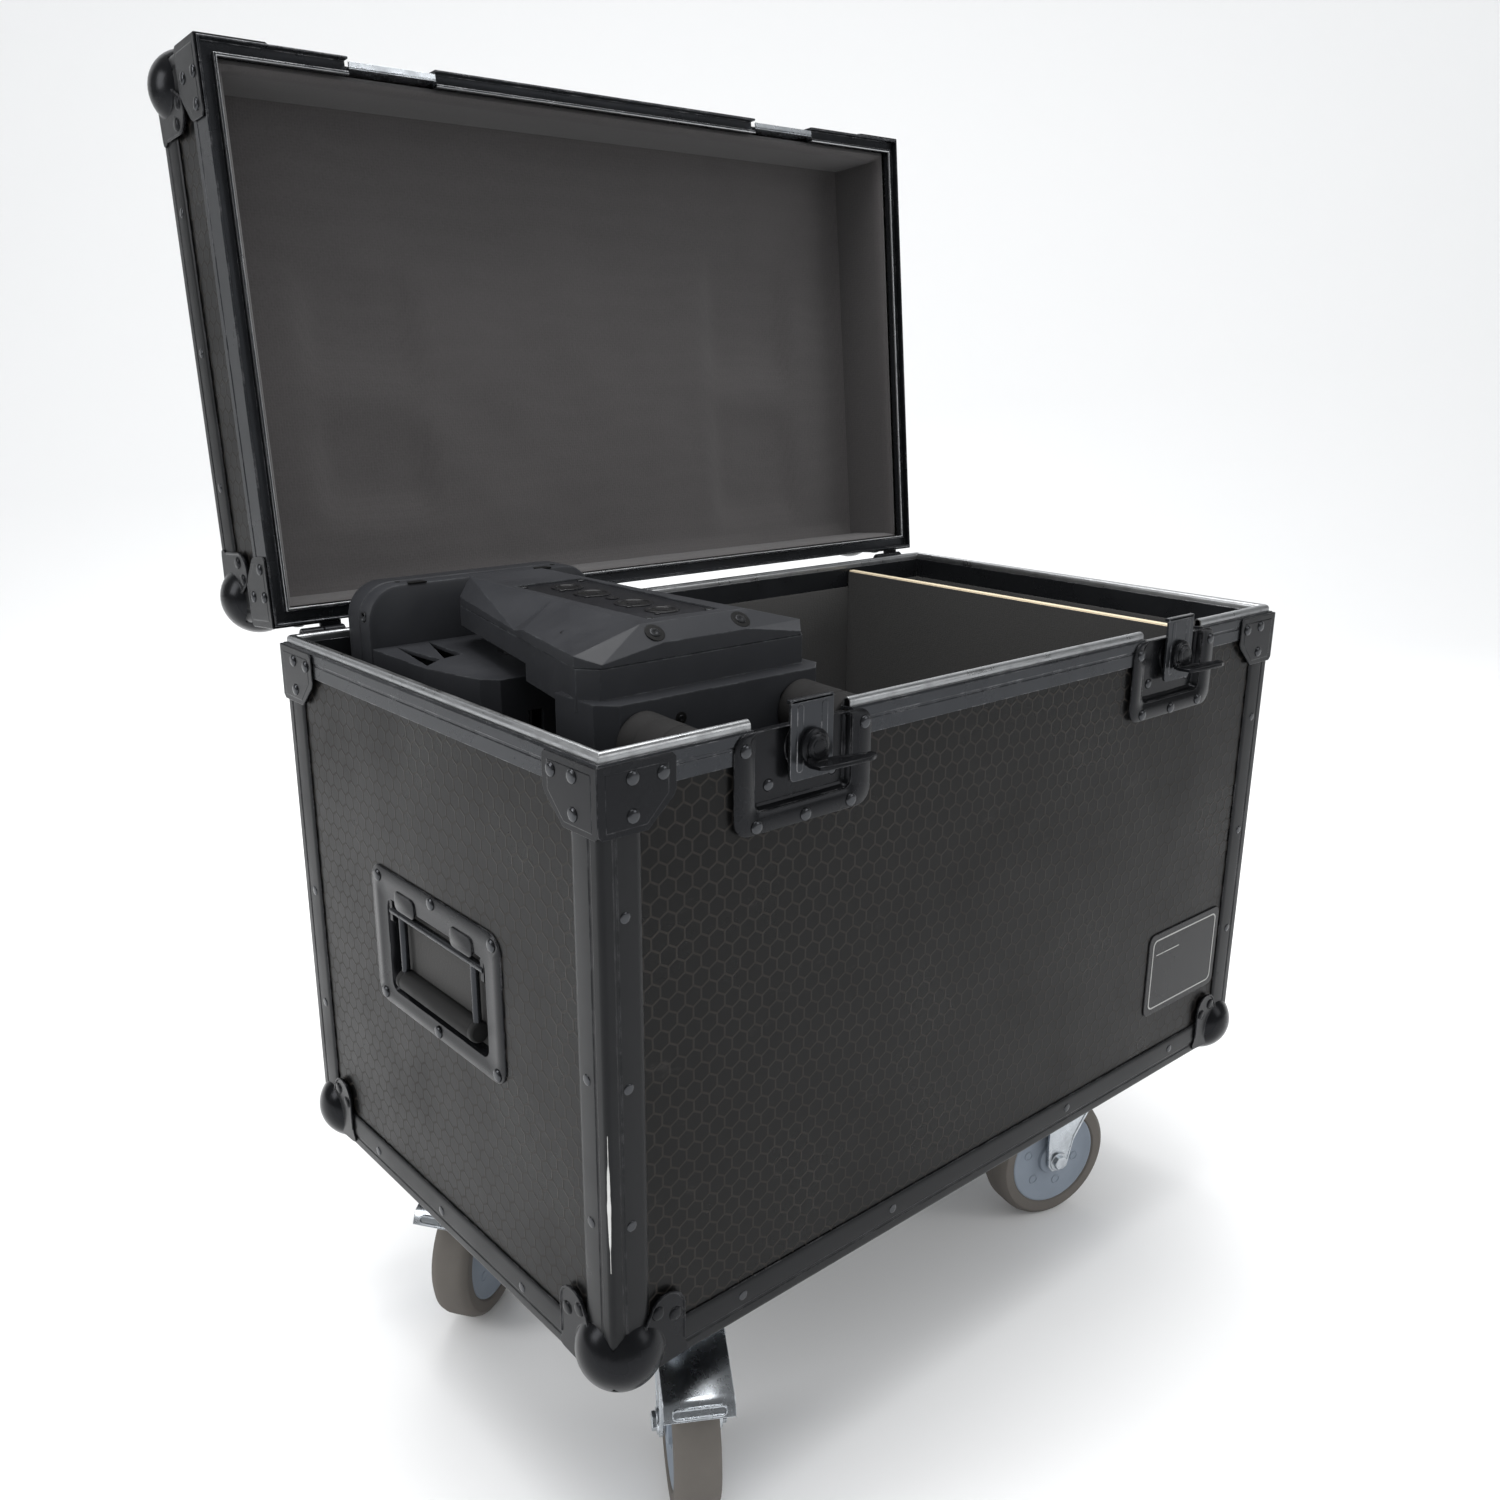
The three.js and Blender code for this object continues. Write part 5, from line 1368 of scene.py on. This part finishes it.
def screw_pockets_painted_shade():
    s, p = Shape(LIGHT), Shape(LIGHT)
    for v in (-38, 35):
        pocket(s, p, (214.6, v, 77.2), (14, 0, -11), 7.2)
        pocket(s, p, (-214.6, v, 77.2), (-14, 0, -11), 7.2)
    for v in (-72, 72):
        pocket(s, p, (210.6, v, 131), (44.5, 14 if v > 0 else -14, 0), 6.0)
    for u, v in ((162, -36), (162, 55), (-162, -36), (-162, 55)):
        pocket(s, p, (u, v, 52.9), (0, 0, -1), 4.4)
    # The pocket discs are painted shade: near-black stand-ins for the shade inside the screw holes.
    s.make("screw_pockets_painted_shade", "pit_painted_shade", "light", "casing", nodes=("connector_panel",))
    p.make("pocket_screws", "axle", "light", "panel", nodes=("connector_panel",))
    # Bezel notches drawn as painted shade: near-black wedges and dots that stand in for the shade in the
    # notches and screw holes.
    b = Shape(LIGHT)
    for v in (-61, 55):
        b.skin([[(214.25, y, w) for y, w in ((v - 8, 355.2), (v + 8, 355.2), (v + 6, 362), (v - 6, 362))],
                [(213.0, y, w) for y, w in ((v - 8, 355.2), (v + 8, 355.2), (v + 6, 362), (v - 6, 362))]])
    for v in (-73, 71):
        b.turned("x", (v, 366), [(2.2, 213.5), (2.2, 214.3), (1.6, 214.4), (0.2, 214.2)], 16)
    b.make("bezel_notch_painted_shade", "pit_painted_shade", "head", "casing", nodes=("head_bezel",))


screw_pockets_painted_shade()


def scrape():
    """Bare metal where the finish is rubbed off the front left edge."""
    s = Shape(CASE)
    rows = []
    for k in range(25):
        z = 92 + 4.1 * k
        w = 1.5 * math.sin(math.pi * k / 24) ** 1.5 + 1.0 * noise.noise(Vector((z * 0.09, 1, 0)))
        w = max(0.25, w)
        arc_pts = []
        for q in (45 - 9 * w, 45 - 3 * w, 45 + 5 * w, 45 + 12 * w):
            t = math.radians(max(2, min(88, q)))
            arc_pts.append((4 - 4.08 * math.sin(t), 4 - 4.08 * math.cos(t), z))
        back_pts = [(x + 0.1, y + 0.1, z) for x, y, _ in reversed(arc_pts)]
        rows.append(arc_pts + back_pts)
    s.skin(rows)
    s.make("edge_scrape", "scrape", "case", "edging", nodes=("body_edging",), smooth=60)


scrape()


def dial_and_fan():
    c = (40, 86.5)
    s = Shape(LIGHT)
    prof = [(10.4, 98.5), (11, 99), (11, 105.8), (10.2, 107), (8.8, 107.4), (8.0, 106.9), (0.5, 106.9)]
    s.turned("y", c, prof, 40)
    s.box(39.2, 40.8, 106.0, 107.3, 88.5, 95.0)
    s.make("menu_dial_knob", "grip", "dial", "grip", nodes=("menu_dial",), smooth=34)


dial_and_fan()
finish_node("cooling_fan", "grip")


# ---- Floor, backdrop and light ----
def stage_floor():
    low = cad_box[0][2]
    me = bpy.data.meshes.new("floor")
    bm = bmesh.new()
    profile = [(-6, low), (2.6, low)]
    for i in range(1, 13):
        q = math.radians(90 * i / 12)
        profile.append((2.6 + 1.6 * math.sin(q), low + 1.6 - 1.6 * math.cos(q)))
    profile.append((4.2, low + 7))
    rows = [[bm.verts.new((a * 0.63 + s * 0.776, a * 0.776 - s * 0.63, z)) for s in (-9, 9)] for a,
            z in profile]
    for a, b in zip(rows, rows[1:]):
        bm.faces.new((a[0], a[1], b[1], b[0]))
    bmesh.ops.recalc_face_normals(bm, faces=bm.faces)
    bm.to_mesh(me)
    bm.free()
    for p in me.polygons:
        p.use_smooth = True
    o = bpy.data.objects.new("floor", me)
    bpy.context.scene.collection.objects.link(o)
    n = Nodes("floor", (0.86, 0.86, 0.86), 0.75)
    n.rough(n.noise(3, 2), 0.7, 0.8)
    me.materials.append(n.mat)


def area(name, at, target, size, power, size_y=None, color=(1, 1, 1)):
    lamp = bpy.data.lights.new(name, "AREA")
    lamp.shape = "RECTANGLE"
    lamp.size = size
    lamp.size_y = size_y or size
    lamp.energy = power
    lamp.color = color
    o = bpy.data.objects.new(name, lamp)
    o.location = at
    o.rotation_euler = (Vector(target) - Vector(at)).to_track_quat("-Z", "Y").to_euler()
    bpy.context.scene.collection.objects.link(o)


def studio():
    world = bpy.data.worlds.new("studio")
    bpy.context.scene.world = world
    world.use_nodes = True
    tree = world.node_tree
    back = tree.nodes["Background"]
    ray = tree.nodes.new("ShaderNodeLightPath")
    level = tree.nodes.new("ShaderNodeMapRange")
    tree.links.new(ray.outputs["Is Glossy Ray"], level.inputs["Value"])
    level.inputs["To Min"].default_value = 0.95
    level.inputs["To Max"].default_value = 0.16
    tree.links.new(level.outputs["Result"], back.inputs["Strength"])
    back.inputs["Color"].default_value = (0.97, 0.985, 1.0, 1)
    mid = (0, 0, 0.4)
    area("overhead", (-0.1, 0.1, 2.6), mid, 1.7, 60)
    area("left_bank", (-2.6, 0.9, 1.7), mid, 1.0, 26, 1.4)
    area("front_bank", (1.7, -2.7, 1.6), mid, 1.1, 14, 1.5)
    area("rear_glow", (1.4, 2.4, 2.1), mid, 1.4, 26)
    bpy.context.scene.view_settings.view_transform = "Standard"


stage_floor()
studio()
